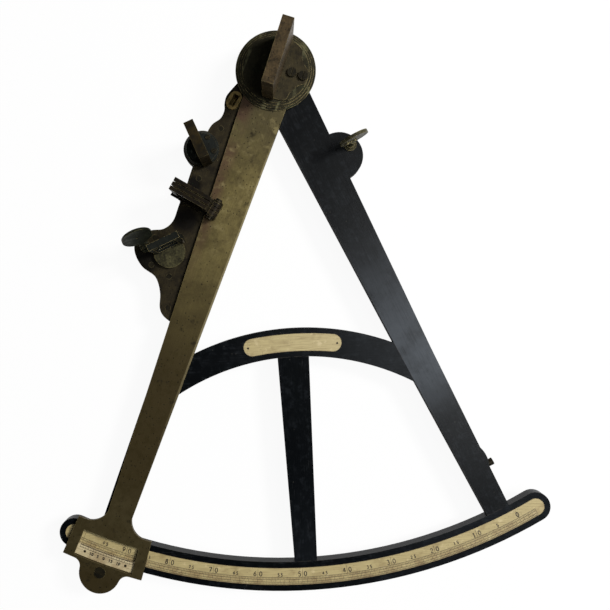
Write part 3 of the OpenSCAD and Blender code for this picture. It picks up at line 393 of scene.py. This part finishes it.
def ebony(name, body, rubbed, turn, gloss, walls, painted_sheen):
    """Oiled black wood: fine grain along the piece, grey scuffs, fine scratches, worn edges and a painted
    sheen: a pale stretch that stands for the lamp's reflection on the wood, given as its start, middle and
    end along the piece and its amount. Walls is how rough the sides are."""
    material, w = new_material(name)
    grain = streaks(w, 1500.0, 0.03, turn)
    scuffs = w.times(patches(w, 38.0, 0.5, 0.78), w.ramp(grain, 0.3, 0.7))
    # Painted sheen: a pale stretch along the piece, broken up by the grain, where the lamp's reflection
    # falls.
    start, middle, end, amount = painted_sheen
    ahead = w.along(turn)
    pale = w.times(w.times(w.ramp(ahead, start, middle), w.ramp(ahead, end, middle)), amount)
    cloudy_grain = w.maths("ADD", grain, patches(w, 60.0, 0.0, 1.0))
    pale = w.times(pale, w.ramp(cloudy_grain, 0.3, 1.2))
    colour = w.mix(w.maths("MAXIMUM", w.times(scuffs, 0.06), pale), body, rubbed)
    colour = w.mix(w.ramp(grain, 0.45, 0.8, 0.0, 0.35), colour, srgb(3, 3, 4))
    scratches = w.ramp(streaks(w, 5200.0, 0.012, turn + 4.0), 0.66, 0.74)
    scratches = w.times(scratches, patches(w, 50.0, 0.42, 0.62, (0.6, 0.3, 0.0)))
    colour = w.stain(colour, scratches, 0.35, srgb(84, 86, 88))
    colour = w.stain(colour, specks(w, 330.0, 0.2, 0.05), 0.3, srgb(80, 78, 72))
    colour = w.stain(colour, edges(w, 0.7 * MM), 0.7, srgb(58, 55, 50))
    mottled = w.times(patches(w, 210.0, 0.45, 0.7, (0.2, 0.9, 0.0)), w.ramp(grain, 0.35, 0.6))
    colour = w.stain(colour, mottled, 0.14, rubbed)
    facing_up = w.dot(w.add("ShaderNodeNewGeometry").outputs["Normal"], (0, 0, 1))
    side = w.ramp(w.maths("ABSOLUTE", facing_up), 0.7, 0.3, 0.0, walls)
    w.surface({
        "Base Color": colour, "Roughness": w.maths("MAXIMUM", w.ramp(scuffs, 0.0, 1.0, 0.34, 0.48), side),
        "Specular IOR Level": gloss, "Normal": w.bump(grain, 0.3, 0.1 * MM),
    })
    return material


def bone(name, body, dirt, turn=90.0):
    """Old bone: fibres along the piece, brown dirt in patches and at the edges, pale spots, dark pores, and a
    darker outer part where it was handled."""
    material, w = new_material(name)
    fibres = streaks(w, 1700.0, 0.04, turn)
    colour = w.mix(w.ramp(fibres, 0.35, 0.75, 0.0, 0.55), body, dirt)
    colour = w.stain(colour, patches(w, 85.0, 0.5, 0.72), 0.55, dirt)
    pale = patches(w, 160.0, 0.56, 0.7, (0.4, 0.2, 0.0))
    colour = w.stain(colour, pale, 0.5, srgb(206, 190, 148))
    handled = w.times(w.ramp(w.away(), *HANDLED_BONE), patches(w, 120.0, 0.36, 0.62, (0.8, 0.3, 0.0)))
    colour = w.stain(colour, handled, 0.45, srgb(118, 92, 60))
    colour = w.stain(colour, specks(w, 700.0, 0.28, 0.3), 0.5, srgb(74, 56, 38))
    colour = w.stain(colour, edges(w, 0.9 * MM, 0.35), 0.7, srgb(84, 66, 44))
    w.surface({
        "Base Color": colour, "Roughness": w.ramp(fibres, 0.3, 0.7, 0.38, 0.52),
        "Normal": w.bump(fibres, 0.2, 0.08 * MM),
    })
    return material


def ink(name, dark, bone_colour):
    """Black filling of engraved lines, partly worn down to the bone."""
    material, w = new_material(name)
    colour = w.stain(dark, patches(w, 240.0, 0.5, 0.72, (0.15, 0.6, 0.0)), 0.35, bone_colour)
    colour = w.stain(colour, specks(w, 1500.0, 0.4, 0.4), 0.3, srgb(96, 76, 52))
    w.surface({"Base Color": colour, "Roughness": 0.6})
    return material


def tinted_glass(name, tint, smear):
    """Coloured glass with a film of dust and finger marks."""
    material, w = new_material(name)
    film = patches(w, 130.0, 0.45, 0.75)
    w.surface({
        "Base Color": w.stain(tint, film, 0.35, smear), "Roughness": w.ramp(film, 0.0, 1.0, 0.03, 0.22),
        "Transmission Weight": 1.0, "IOR": 1.5,
    })
    return material


def silvered(name):
    """Old mirror glass: grey silver with brown foxing at the edges and in spots."""
    material, w = new_material(name)
    spots = w.maths("MAXIMUM", specks(w, 520.0, 0.4, 0.3), patches(w, 70.0, 0.58, 0.8))
    colour = w.stain(srgb(158, 164, 160), spots, 0.35, srgb(78, 72, 58))
    colour = w.mix(edges(w, 1.5 * MM, 0.4), colour, srgb(50, 44, 34))
    w.surface({"Base Color": colour, "Metallic": 1.0, "Roughness": w.ramp(spots, 0.0, 1.0, 0.08, 0.5)})
    return material


def arm_stains(w, colour):
    """The arm's own look: dull near the disc, blotched and lighter in patches above the middle, dark below
    it, handled on the foot, reddish beside the wing, and with a painted highlight: a light line along the
    right edge."""
    ahead, across = w.along(ARM_TURN), w.across(ARM_TURN)
    colour = w.stain(colour, w.ramp(ahead, 0.11, 0.26), 0.94, srgb(57, 48, 27))
    foot = w.times(w.ramp(ahead, 0.34, 0.365), w.ramp(ahead, 0.425, 0.405))
    handled = w.times(foot, patches(w, 70.0, 0.25, 0.6, (0.4, 0.4, 0.0)))
    colour = w.stain(colour, handled, 0.9, srgb(70, 62, 39))
    colour = w.stain(colour, w.ramp(ahead, 0.1, 0.03), 0.78, srgb(66, 60, 42))
    beside_wing = w.times(w.ramp(across, -0.004, -0.013), w.ramp(ahead, 0.2, 0.13))
    red = w.times(beside_wing, patches(w, 45.0, 0.3, 0.6, (0.1, 0.9, 0.0)))
    colour = w.stain(colour, red, 0.7, srgb(78, 56, 46))
    upper = w.ramp(ahead, 0.19, 0.1)
    blots = w.times(patches(w, 150.0, 0.57, 0.7, (0.9, 0.4, 0.0)), upper)
    colour = w.stain(colour, blots, 0.55, srgb(58, 48, 32))
    # Lighter patches above the middle.
    rubbed = w.times(patches(w, 95.0, 0.52, 0.7, (0.2, 0.8, 0.0)), upper)
    colour = w.stain(colour, rubbed, 0.5, srgb(146, 134, 92))
    # Painted highlight: a light line just inside the right edge, where the edge catches the light.
    right_edge = w.maths("SUBTRACT", ARM_HALF_WIDTH, w.times(ahead, ARM_TAPER))
    line = w.ramp(w.maths("SUBTRACT", across, right_edge), -1.3 * MM, -0.7 * MM)
    line = w.times(line, w.times(w.ramp(ahead, 0.04, 0.08), w.ramp(ahead, 0.34, 0.2)))
    return w.stain(colour, line, 0.5, srgb(160, 148, 112))


def wing_stains(w, colour):
    """Painted shadows on the wing plate: near-black spots where the horizon glasses and the shades cast their
    shadows.
    """
    for x, y, reach in WING_PAINTED_SHADOWS:
        # Each spot darkens the plate towards near black as a painted shadow.
        painted_shadow = w.ramp(w.away(x * MM, y * MM), reach * MM, reach * MM * 0.45, 0.0, 0.9)
        colour = w.mix(painted_shadow, colour, srgb(9, 7, 5))
    return colour


def disc_stains(w, colour):
    """Turning marks on the disc: rings about its centre, pale streaks and green tarnish."""
    rings = w.maths("SINE", w.times(w.away(), 2 * math.pi / TURNING_STEP))
    colour = w.mix(w.ramp(rings, 0.2, 1.0, 0.0, 0.25), colour, srgb(34, 34, 24))
    inputs = {"Vector": w.place(), "Scale": 19.0, "Distortion": 22.0, "Detail": 1.5}
    bands = w.ramp(w.add("ShaderNodeTexWave", inputs).outputs["Fac"], 0.8, 1.0)
    streak = w.times(bands, patches(w, 55.0, 0.46, 0.6, (0.3, 0.7, 0.0)))
    colour = w.stain(colour, streak, 0.6, srgb(104, 102, 74))
    green = patches(w, 75.0, 0.55, 0.72, (0.5, 0.5, 0.0))
    return w.stain(colour, green, 0.5, srgb(44, 56, 38))


def finish_nodes(material, names):
    """Gives CAD nodes one material in place of their own."""
    for name in names:
        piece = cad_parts[name]
        piece.data.materials.clear()
        piece.data.materials.append(material)


class QUADRANT_OT_wood(Operator):
    """Gives the frame its ebony, with the grain along each piece"""

    bl_idname = "quadrant.wood"
    bl_label = "Wood"

    def execute(self, context):
        colours = context.scene.quadrant_colours
        # Each piece with the turn of its grain, its gloss, how rough its sides are and its stretch of painted
        # sheen.
        pieces = {
            "left_limb": (LIMB_TURN, 0.12, 0.9, (0.1, 0.2, 0.3, 0.1)),
            "right_limb": (-LIMB_TURN, 0.15, 0.95, (0.13, 0.26, 0.31, 1.0)),
            "crossbar": (90.0, 0.08, 0.7, (0.02, -0.09, -0.2, 0.12)),
            "strut": (0.0, 0.04, 0.7, (0.3, 0.4, 0.5, 0.1)),
            "arc_limb": (90.0, 0.07, 0.0, (0.0, -0.15, -0.3, 0.12)),
        }
        for name, (turn, gloss, walls, painted_sheen) in pieces.items():
            wood = ebony(f"ebony_{name}", colours.ebony, colours.ebony_rubbed, turn, gloss, walls, painted_sheen)
            finish_nodes(wood, [name])
        return {"FINISHED"}


class QUADRANT_OT_bone(Operator):
    """Gives the scale, the vernier and the nameplate their bone"""

    bl_idname = "quadrant.bone"
    bl_label = "Bone"

    def execute(self, context):
        colours = context.scene.quadrant_colours
        finish_nodes(bone("bone", colours.bone, colours.bone_dirt), ["degree_scale", "nameplate"])
        pale = bone("pale_bone", colours.bone_pale, colours.bone_dirt, ARM_TURN + 90)
        finish_nodes(pale, ["vernier_plate"])
        return {"FINISHED"}


class QUADRANT_OT_brass(Operator):
    """Gives every metal piece its own age of brass"""

    bl_idname = "quadrant.brass"
    bl_label = "Brass"

    def execute(self, context):
        colours = context.scene.quadrant_colours
        # Each brass with its light and dark colour, what else is its own, and the pieces that have it.
        finishes = {
            "arm_brass": (
                colours.arm_brass, colours.arm_dark, {"turn": ARM_TURN, "stains_and_painted_light": arm_stains, "size": 48.0},
                ["index_arm"],
            ),
            "disc_brass": (
                colours.disc_brass, srgb(34, 32, 22), {"stains_and_painted_light": disc_stains, "wear": 0.9, "size": 80.0},
                ["index_disc"],
            ),
            "wing_brass": (
                colours.wing_brass, srgb(25, 21, 14),
                {"turn": LIMB_TURN, "wear": 0.45, "stains_and_painted_light": wing_stains},
                ["wing_plate"],
            ),
            "mirror_foot_brass": (
                srgb(66, 59, 40), srgb(36, 32, 22), {"wear": 0.9},
                ["index_mirror_foot"],
            ),
            "mirror_frame_brass": (
                srgb(94, 78, 54), srgb(40, 34, 23), {"wear": 0.6, "size": 110.0},
                ["index_mirror_frame"],
            ),
            "slate_brass": (
                srgb(38, 41, 38), srgb(18, 20, 18), {"wear": 0.6, "size": 90.0},
                ["fore_horizon_base"],
            ),
            "horizon_brass": (
                srgb(56, 46, 24), srgb(24, 20, 11), {"wear": 0.4},
                ["fore_horizon_frame"],
            ),
            # Full edge wear here also paints the bright edge lines where the frame's bevels catch the light:
            # worn edges and painted highlight.
            "back_horizon_brass": (
                srgb(38, 41, 36), srgb(18, 20, 17), {"wear": 1.0},
                ["back_horizon_frame"],
            ),
            "pale_brass": (
                srgb(92, 88, 60), srgb(34, 32, 22), {"wear": 0.7, "size": 120.0},
                ["back_horizon_base", "fore_sight_vane", "fore_vane_shutter"],
            ),
            "vane_brass": (
                srgb(48, 52, 40), srgb(26, 28, 20), {"wear": 0.5},
                ["back_sight_vane", "back_vane_stand"],
            ),
            "bright_brass": (
                srgb(150, 128, 78), srgb(96, 80, 46), {"wear": 0.6, "size": 120.0},
                ["fore_shade_socket"],
            ),
            # The edge wear here is partly painted highlight: it brings out the light lines and glints along
            # the shade frames.
            "shade_brass": (
                srgb(40, 32, 20), srgb(16, 13, 8), {"wear": 0.42, "size": 110.0},
                ["shade_frame_1", "shade_frame_2", "shade_frame_3", "shade_bracket", "back_shade_socket"],
            ),
            "dark_brass": (
                srgb(40, 36, 24), srgb(18, 16, 11), {"wear": 0.15, "size": 150.0},
                [
                    "index_mirror_screws", "fore_horizon_screws", "back_horizon_screw", "shade_pivot_screw",
                    "wing_plate_screws", "nameplate_pins", "vernier_pins", "back_vane_pin",
                    "clamp_block_screw", "limb_peg", "fore_vane_liner",
                ],
            ),
        }
        done = set(NOT_BRASS)
        for name, (light, dark, extra, nodes) in finishes.items():
            brass = aged_brass(name, light, dark, colours.worn_brass, colours.tarnish, **extra)
            finish_nodes(brass, nodes)
            done.update(nodes)
        rest = [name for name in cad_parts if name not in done]
        light, dark = srgb(104, 92, 62), srgb(60, 52, 33)
        finish_nodes(aged_brass("back_brass", light, dark, colours.worn_brass, colours.tarnish), rest)
        return {"FINISHED"}


class QUADRANT_OT_glass(Operator):
    """Gives the mirrors their silver and the shades their colours"""

    bl_idname = "quadrant.glass"
    bl_label = "Glass"

    def execute(self, context):
        finish_nodes(silvered("silvered_glass"), ["index_mirror"])
        clear = tinted_glass("horizon_glass", srgb(196, 206, 198), srgb(120, 120, 104))
        finish_nodes(clear, ["fore_horizon_glass", "back_horizon_glass"])
        tints = {"dark_red": srgb(86, 14, 10), "red": srgb(134, 30, 18), "green": srgb(30, 84, 44)}
        for number, (name, tint) in enumerate(tints.items(), start=1):
            finish_nodes(tinted_glass(f"{name}_glass", tint, srgb(60, 44, 34)), [f"shade_glass_{number}"])
        return {"FINISHED"}


def strokes_mesh(name, blocks):
    """One mesh from several blocks of corners and faces."""
    corners, faces, first = [], [], 0
    for some_corners, some_faces in blocks:
        corners.append(some_corners)
        faces.append(some_faces + first)
        first += len(some_corners)
    corners, faces = np.concatenate(corners), np.concatenate(faces)
    mesh = bpy.data.meshes.new(name)
    mesh.from_pydata(corners.tolist(), [], faces.tolist())
    mesh.validate()
    return mesh


def ribbons(paths, width, low, high):
    """Pen strokes as closed prisms: each point of a path gives two corners half the width to its left and
    right, at the low and at the high level. Paths is an array of strokes by points by x and y."""
    paths = np.asarray(paths, float)
    ahead = np.gradient(paths, axis=1)
    ahead /= np.linalg.norm(ahead, axis=2, keepdims=True)
    across = np.stack([-ahead[..., 1], ahead[..., 0]], -1) * width / 2
    count, steps = paths.shape[:2]
    corners = np.empty((count, steps, 4, 3))
    corners[:, :, [0, 3], :2] = (paths + across)[:, :, None]
    corners[:, :, [1, 2], :2] = (paths - across)[:, :, None]
    corners[:, :, :2, 2] = low
    corners[:, :, 2:, 2] = high
    number = np.arange(count * steps * 4).reshape(count, steps, 4)
    near, far = number[:, :-1], number[:, 1:]
    sides = np.stack([near, far, np.roll(far, -1, 2), np.roll(near, -1, 2)], -1).reshape(-1, 4)
    ends = np.concatenate([number[:, 0], number[:, -1, ::-1]])
    return corners.reshape(-1, 3), np.concatenate([sides, ends])


def on_arc(turn, radius):
    """Points on an arc about the pivot: radius times the sine of the turn to the right, and radius times its
    cosine down."""
    lean = np.radians(turn)
    return np.stack([radius * np.sin(lean), -radius * np.cos(lean)], -1)


def arc_lines(radii, start, end, width, low, high, steps=150):
    """Arc lines about the pivot, one at each radius: points at even turns between the start and the end."""
    turns = np.linspace(start, end, steps)
    paths = np.stack([on_arc(turns, radius) for radius in radii])
    return ribbons(paths, width, low, high)


def radial_lines(turns, inner, outer, width, low, high):
    """Short straight lines towards the pivot, one at each turn, from the inner to the outer radius."""
    turns = np.asarray(turns, float)
    paths = np.stack([on_arc(turns, inner), on_arc(turns, outer)], 1)
    return ribbons(paths, width, low, high)


def bow(x, y, wide, tall, start, end):
    """Part of an ellipse between two angles: x plus wide times the cosine, y plus tall times the sine."""
    angle = np.radians(np.linspace(start, end, 24))
    return np.stack([x + wide * np.cos(angle), y + tall * np.sin(angle)], -1)


# The pen strokes of each digit, in a box 0.6 wide and 1 tall that stands on 0, 0.
DIGITS = {
    "0": [bow(0.3, 0.5, 0.26, 0.5, 90, 450)],
    "1": [[(0.14, 0.8), (0.32, 1.0), (0.32, 0.0)], [(0.16, 0.0), (0.48, 0.0)]],
    "2": [np.concatenate([bow(0.29, 0.73, 0.23, 0.27, 165, -35), [(0.06, 0.02)], [(0.56, 0.02)]])],
    "3": [bow(0.27, 0.76, 0.2, 0.24, 150, -90), bow(0.27, 0.27, 0.25, 0.27, 90, -150)],
    "4": [[(0.44, 0.0), (0.44, 1.0), (0.03, 0.3), (0.6, 0.3)]],
    "5": [np.concatenate([[(0.54, 1.0), (0.16, 1.0), (0.12, 0.56)], bow(0.28, 0.3, 0.25, 0.31, 125, -150)])],
    "6": [np.concatenate([[(0.5, 1.0), (0.2, 0.66)], bow(0.31, 0.3, 0.24, 0.3, 165, 525)])],
    "7": [[(0.05, 0.86), (0.07, 1.0), (0.56, 1.0), (0.22, 0.0)]],
    "8": [bow(0.3, 0.76, 0.18, 0.24, -90, 270), bow(0.3, 0.27, 0.25, 0.27, 90, 450)],
    "9": [np.concatenate([[(0.1, 0.0), (0.4, 0.34)], bow(0.29, 0.7, 0.24, 0.3, -15, 345)])],
}
DIGIT_MIDDLE = (0.3, 0.5)
STROKE_POINTS = 16


def evenly(stroke):
    """The stroke with a fixed number of points, each at an even share of the length run along it."""
    stroke = np.asarray(stroke, float)
    run = np.concatenate([[0], np.cumsum(np.linalg.norm(np.diff(stroke, axis=0), axis=1))])
    steps = np.linspace(0, run[-1], STROKE_POINTS)
    return np.stack([np.interp(steps, run, stroke[:, axis]) for axis in (0, 1)], -1)


def numeral(text, turn, radius, height, pitch):
    """The strokes of a number that stands on the arc with its top towards the pivot: each point of a digit is
    taken from the digit's middle, times the height, and moved along the arc by the digit's place."""
    lean = math.radians(turn)
    right = np.array([math.cos(lean), math.sin(lean)])
    up = np.array([-math.sin(lean), math.cos(lean)])
    middle = on_arc(turn, radius)
    strokes = []
    for place, digit in enumerate(text):
        shift = (place - (len(text) - 1) / 2) * pitch
        for stroke in DIGITS[digit]:
            points = evenly(stroke) - DIGIT_MIDDLE
            strokes.append(middle + (points[:, :1] * height + shift) * right + points[:, 1:] * height * up)
    return strokes


def engrave(context, name, blocks, material, body):
    """Adds strokes as a piece that rides on a body."""
    mesh = strokes_mesh(name, blocks)
    mesh.materials.append(material)
    piece = bpy.data.objects.new(name, mesh)
    context.scene.collection.objects.link(piece)
    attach(piece, body)


class QUADRANT_OT_graduations(Operator):
    """Engraves the degree scale: four arc lines, a line for every 20 minutes, and numbers every 5 degrees"""

    bl_idname = "quadrant.graduations"
    bl_label = "Graduations"

    def execute(self, context):
        scale = context.scene.quadrant_scale
        colours = context.scene.quadrant_colours
        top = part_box("degree_scale")[1].z
        levels = (top - FILLING_DEPTH, top + scale.line_rise)
        zero, per_degree = math.degrees(scale.zero_turn), math.degrees(scale.degree_turn)
        inner, outer = scale.ladder_inner, scale.ladder_outer
        ladder = (inner, inner + scale.inner_band, outer - scale.outer_band, outer)
        wide = scale.line_width

        readings = np.arange(3 * scale.first_reading, 3 * scale.last_reading + 1) / 3
        turns = zero - readings * per_degree
        whole = np.isclose(readings, np.round(readings))
        fives = np.isclose(readings / 5, np.round(readings / 5))
        tens = zero - np.arange(0, scale.last_reading, 10) * per_degree
        blocks = [
            arc_lines(ladder, turns[-1], turns[0], wide * 1.35, *levels),
            radial_lines(turns[~whole], inner, ladder[1], wide, *levels),
            radial_lines(turns[~whole], ladder[2], outer, wide, *levels),
            radial_lines(turns[whole], inner, outer, wide, *levels),
            radial_lines(turns[fives], inner - 3 * wide, inner, wide * 1.3, *levels),
            radial_lines(tens, scale.tens_line, inner, wide * 1.2, *levels),
        ]
        worn_ink = ink("worn_ink", colours.ink, colours.bone)
        engrave(context, "scale_graduations", blocks, worn_ink, "frame")

        large, small = [], []
        for reading in range(0, scale.last_number + 1, 5):
            turn = zero - reading * per_degree
            radius = scale.numeral_radius
            if reading % 10 == 0:
                large += numeral(str(reading), turn, radius, scale.tens_height, scale.tens_pitch)
            else:
                small += numeral(str(reading), turn, radius + 0.5 * MM, scale.fives_height, scale.fives_pitch)
        blocks = [ribbons(large, scale.tens_stroke, *levels), ribbons(small, scale.fives_stroke, *levels)]
        numeral_ink = ink("numeral_ink", colours.ink, colours.bone)
        engrave(context, "scale_numerals", blocks, numeral_ink, "frame")
        return {"FINISHED"}


class QUADRANT_OT_vernier(Operator):
    """Engraves the vernier plate: two arc lines, the thick inner one painted shade in the gap beside the
    scale, twenty divisions and its numbers from the middle outwards
    """

    bl_idname = "quadrant.vernier"
    bl_label = "Vernier"

    def execute(self, context):
        scale = context.scene.quadrant_scale
        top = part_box("vernier_plate")[1].z
        levels = (top - FILLING_DEPTH, top + scale.line_rise)
        inner, outer = scale.vernier_inner, scale.vernier_outer
        wide = scale.line_width
        half_span = math.degrees(scale.vernier_span) / 2
        turns = np.linspace(-half_span, half_span, 21) - ARM_TURN
        long = np.arange(21) % 5 == 0
        blocks = [
            # Painted shade: this thick inner line stands for the dark gap between the scale and the vernier
            # plate's edge.
            arc_lines((inner,), turns[0], turns[-1], wide * 2.6, *levels, steps=24),
            arc_lines((outer,), turns[0], turns[-1], wide * 1.6, *levels, steps=24),
            radial_lines(turns[~long], inner, outer, wide, *levels),
            radial_lines(turns[long], inner, outer + 3 * wide, wide * 1.3, *levels),
        ]
        # One dark ink for the engraved lines, the numbers and the painted shade of the gap.
        vernier_ink_and_shade = ink("vernier_ink_and_shade", srgb(20, 15, 12), srgb(60, 46, 34))
        engrave(context, "vernier_graduations", blocks, vernier_ink_and_shade, "index")

        strokes = []
        # The numbers, each with its turn from the arm's middle line.
        for text, turn in (("10", -1.6), ("5", -0.85), ("0", -0.15), ("15", 0.65), ("10", 1.55)):
            size = (scale.vernier_height, scale.vernier_pitch)
            strokes += numeral(text, turn - ARM_TURN, scale.vernier_radius, *size)
        blocks = [ribbons(strokes, scale.vernier_stroke, *levels)]
        engrave(context, "vernier_numerals", blocks, vernier_ink_and_shade, "index")
        return {"FINISHED"}


def floor_paper(white):
    """Pale paper that catches the light, seen as mostly plain white by the camera, mirrors and glass."""
    material, w = new_material("floor_paper")
    paper = w.add("ShaderNodeBsdfDiffuse", {"Color": (0.9, 0.9, 0.9)}).outputs[0]
    glow = w.add("ShaderNodeEmission", {"Color": (1, 1, 1), "Strength": 1.0}).outputs[0]
    rays = w.add("ShaderNodeLightPath").outputs
    seen = w.maths("MAXIMUM", rays["Is Camera Ray"], rays["Is Glossy Ray"])
    seen = w.maths("MAXIMUM", seen, rays["Is Transmission Ray"])
    blend = w.add("ShaderNodeMixShader", {0: w.times(seen, white), 1: paper, 2: glow})
    w.add("ShaderNodeOutputMaterial", {"Surface": blend.outputs[0]})
    return material


def studio_sky():
    """A sky that is white near the horizon and nearly dark overhead, so that the brass isn't washed out."""
    world = bpy.data.worlds.new("sky")
    world.use_nodes = True
    world.node_tree.nodes.clear()
    w = Wiring(world.node_tree)
    height = w.dot(w.add("ShaderNodeTexCoord").outputs["Generated"], (0, 0, 1))
    strength = w.ramp(height, 0.1, 0.34, 1.0, 0.045)
    sky = w.add("ShaderNodeBackground", {"Color": (1, 1, 1), "Strength": strength})
    w.add("ShaderNodeOutputWorld", {"Surface": sky.outputs[0]})
    return world


def add_lamp(scene, name, place, size, power, colour):
    """A soft square lamp at a place, turned towards the quadrant."""
    lamp = bpy.data.lights.new(name, "AREA")
    lamp.energy = power
    lamp.size = size
    lamp.color = colour
    holder = bpy.data.objects.new(name, lamp)
    holder.location = place
    holder.rotation_euler = (Vector(place) - Vector(LAMP_AIM)).to_track_quat("Z", "Y").to_euler()
    scene.collection.objects.link(holder)


class QUADRANT_OT_stage(Operator):
    """Builds the floor, the lamps, the sky and the camera"""

    bl_idname = "quadrant.stage"
    bl_label = "Stage"

    def execute(self, context):
        scene = context.scene
        stage = scene.quadrant_stage
        corners = [(x * FLOOR_REACH, y * FLOOR_REACH, 0.0) for x, y in ((-1, -1), (1, -1), (1, 1), (-1, 1))]
        mesh = bpy.data.meshes.new("floor")
        mesh.from_pydata(corners, [], [(0, 1, 2, 3)])
        mesh.materials.append(floor_paper(stage.floor_white))
        floor = bpy.data.objects.new("floor", mesh)
        scene.collection.objects.link(floor)

        scene.world = studio_sky()
        add_lamp(scene, "key", (1.2, 0.2, 1.6), 0.45, stage.key_power, (1.0, 0.98, 0.95))
        add_lamp(scene, "fill", (0.55, -0.3, 1.6), 0.5, stage.fill_power, (0.92, 0.96, 1.0))

        lens = bpy.data.cameras.new("camera")
        lens.angle = 2 * math.atan(PICTURE_WIDTH / 2 / LENS_DISTANCE)
        lens.shift_x, lens.shift_y = (shift / PICTURE_WIDTH for shift in PICTURE_SHIFT)
        lens.clip_start = 0.01
        camera = bpy.data.objects.new("camera", lens)
        camera.location = (CAMERA_PLACE[0] * MM, CAMERA_PLACE[1] * MM, stage.camera_height)
        camera.rotation_euler = (*np.radians(CAMERA_TILT), stage.camera_turn)
        scene.collection.objects.link(camera)
        scene.camera = camera
        scene.view_settings.view_transform = "Standard"
        return {"FINISHED"}


class QUADRANT_PT_sidebar(Panel):
    """The quadrant's panel in the 3D view"""

    bl_label = "Quadrant"
    bl_idname = "QUADRANT_PT_sidebar"
    bl_space_type = "VIEW_3D"
    bl_region_type = "UI"
    bl_category = "Quadrant"

    def draw(self, context):
        for name in OPERATORS:
            self.layout.operator(name)


NOT_BRASS = (
    "left_limb", "right_limb", "crossbar", "strut", "arc_limb", "degree_scale", "nameplate", "vernier_plate",
    "index_mirror", "fore_horizon_glass", "back_horizon_glass",
    "shade_glass_1", "shade_glass_2", "shade_glass_3",
)
OPERATORS = (
    "quadrant.wood", "quadrant.bone", "quadrant.brass", "quadrant.glass", "quadrant.graduations",
    "quadrant.vernier", "quadrant.stage",
)
SETTINGS = {
    "quadrant_colours": QuadrantColours,
    "quadrant_scale": QuadrantScale,
    "quadrant_stage": QuadrantStage,
}
CLASSES = (
    *SETTINGS.values(),
    QUADRANT_OT_wood,
    QUADRANT_OT_bone,
    QUADRANT_OT_brass,
    QUADRANT_OT_glass,
    QUADRANT_OT_graduations,
    QUADRANT_OT_vernier,
    QUADRANT_OT_stage,
    QUADRANT_PT_sidebar,
)


def register():
    """Adds the classes and their settings to Blender."""
    for each in CLASSES:
        bpy.utils.register_class(each)
    for name, kind in SETTINGS.items():
        setattr(bpy.types.Scene, name, PointerProperty(type=kind))


def unregister():
    """Takes them out again."""
    for name in SETTINGS:
        delattr(bpy.types.Scene, name)
    for each in reversed(CLASSES):
        bpy.utils.unregister_class(each)


def main():
    """Builds everything in order."""
    register()
    for name in OPERATORS:
        group, call = name.split(".")
        getattr(getattr(bpy.ops, group), call)()


if __name__ == "__main__":
    main()
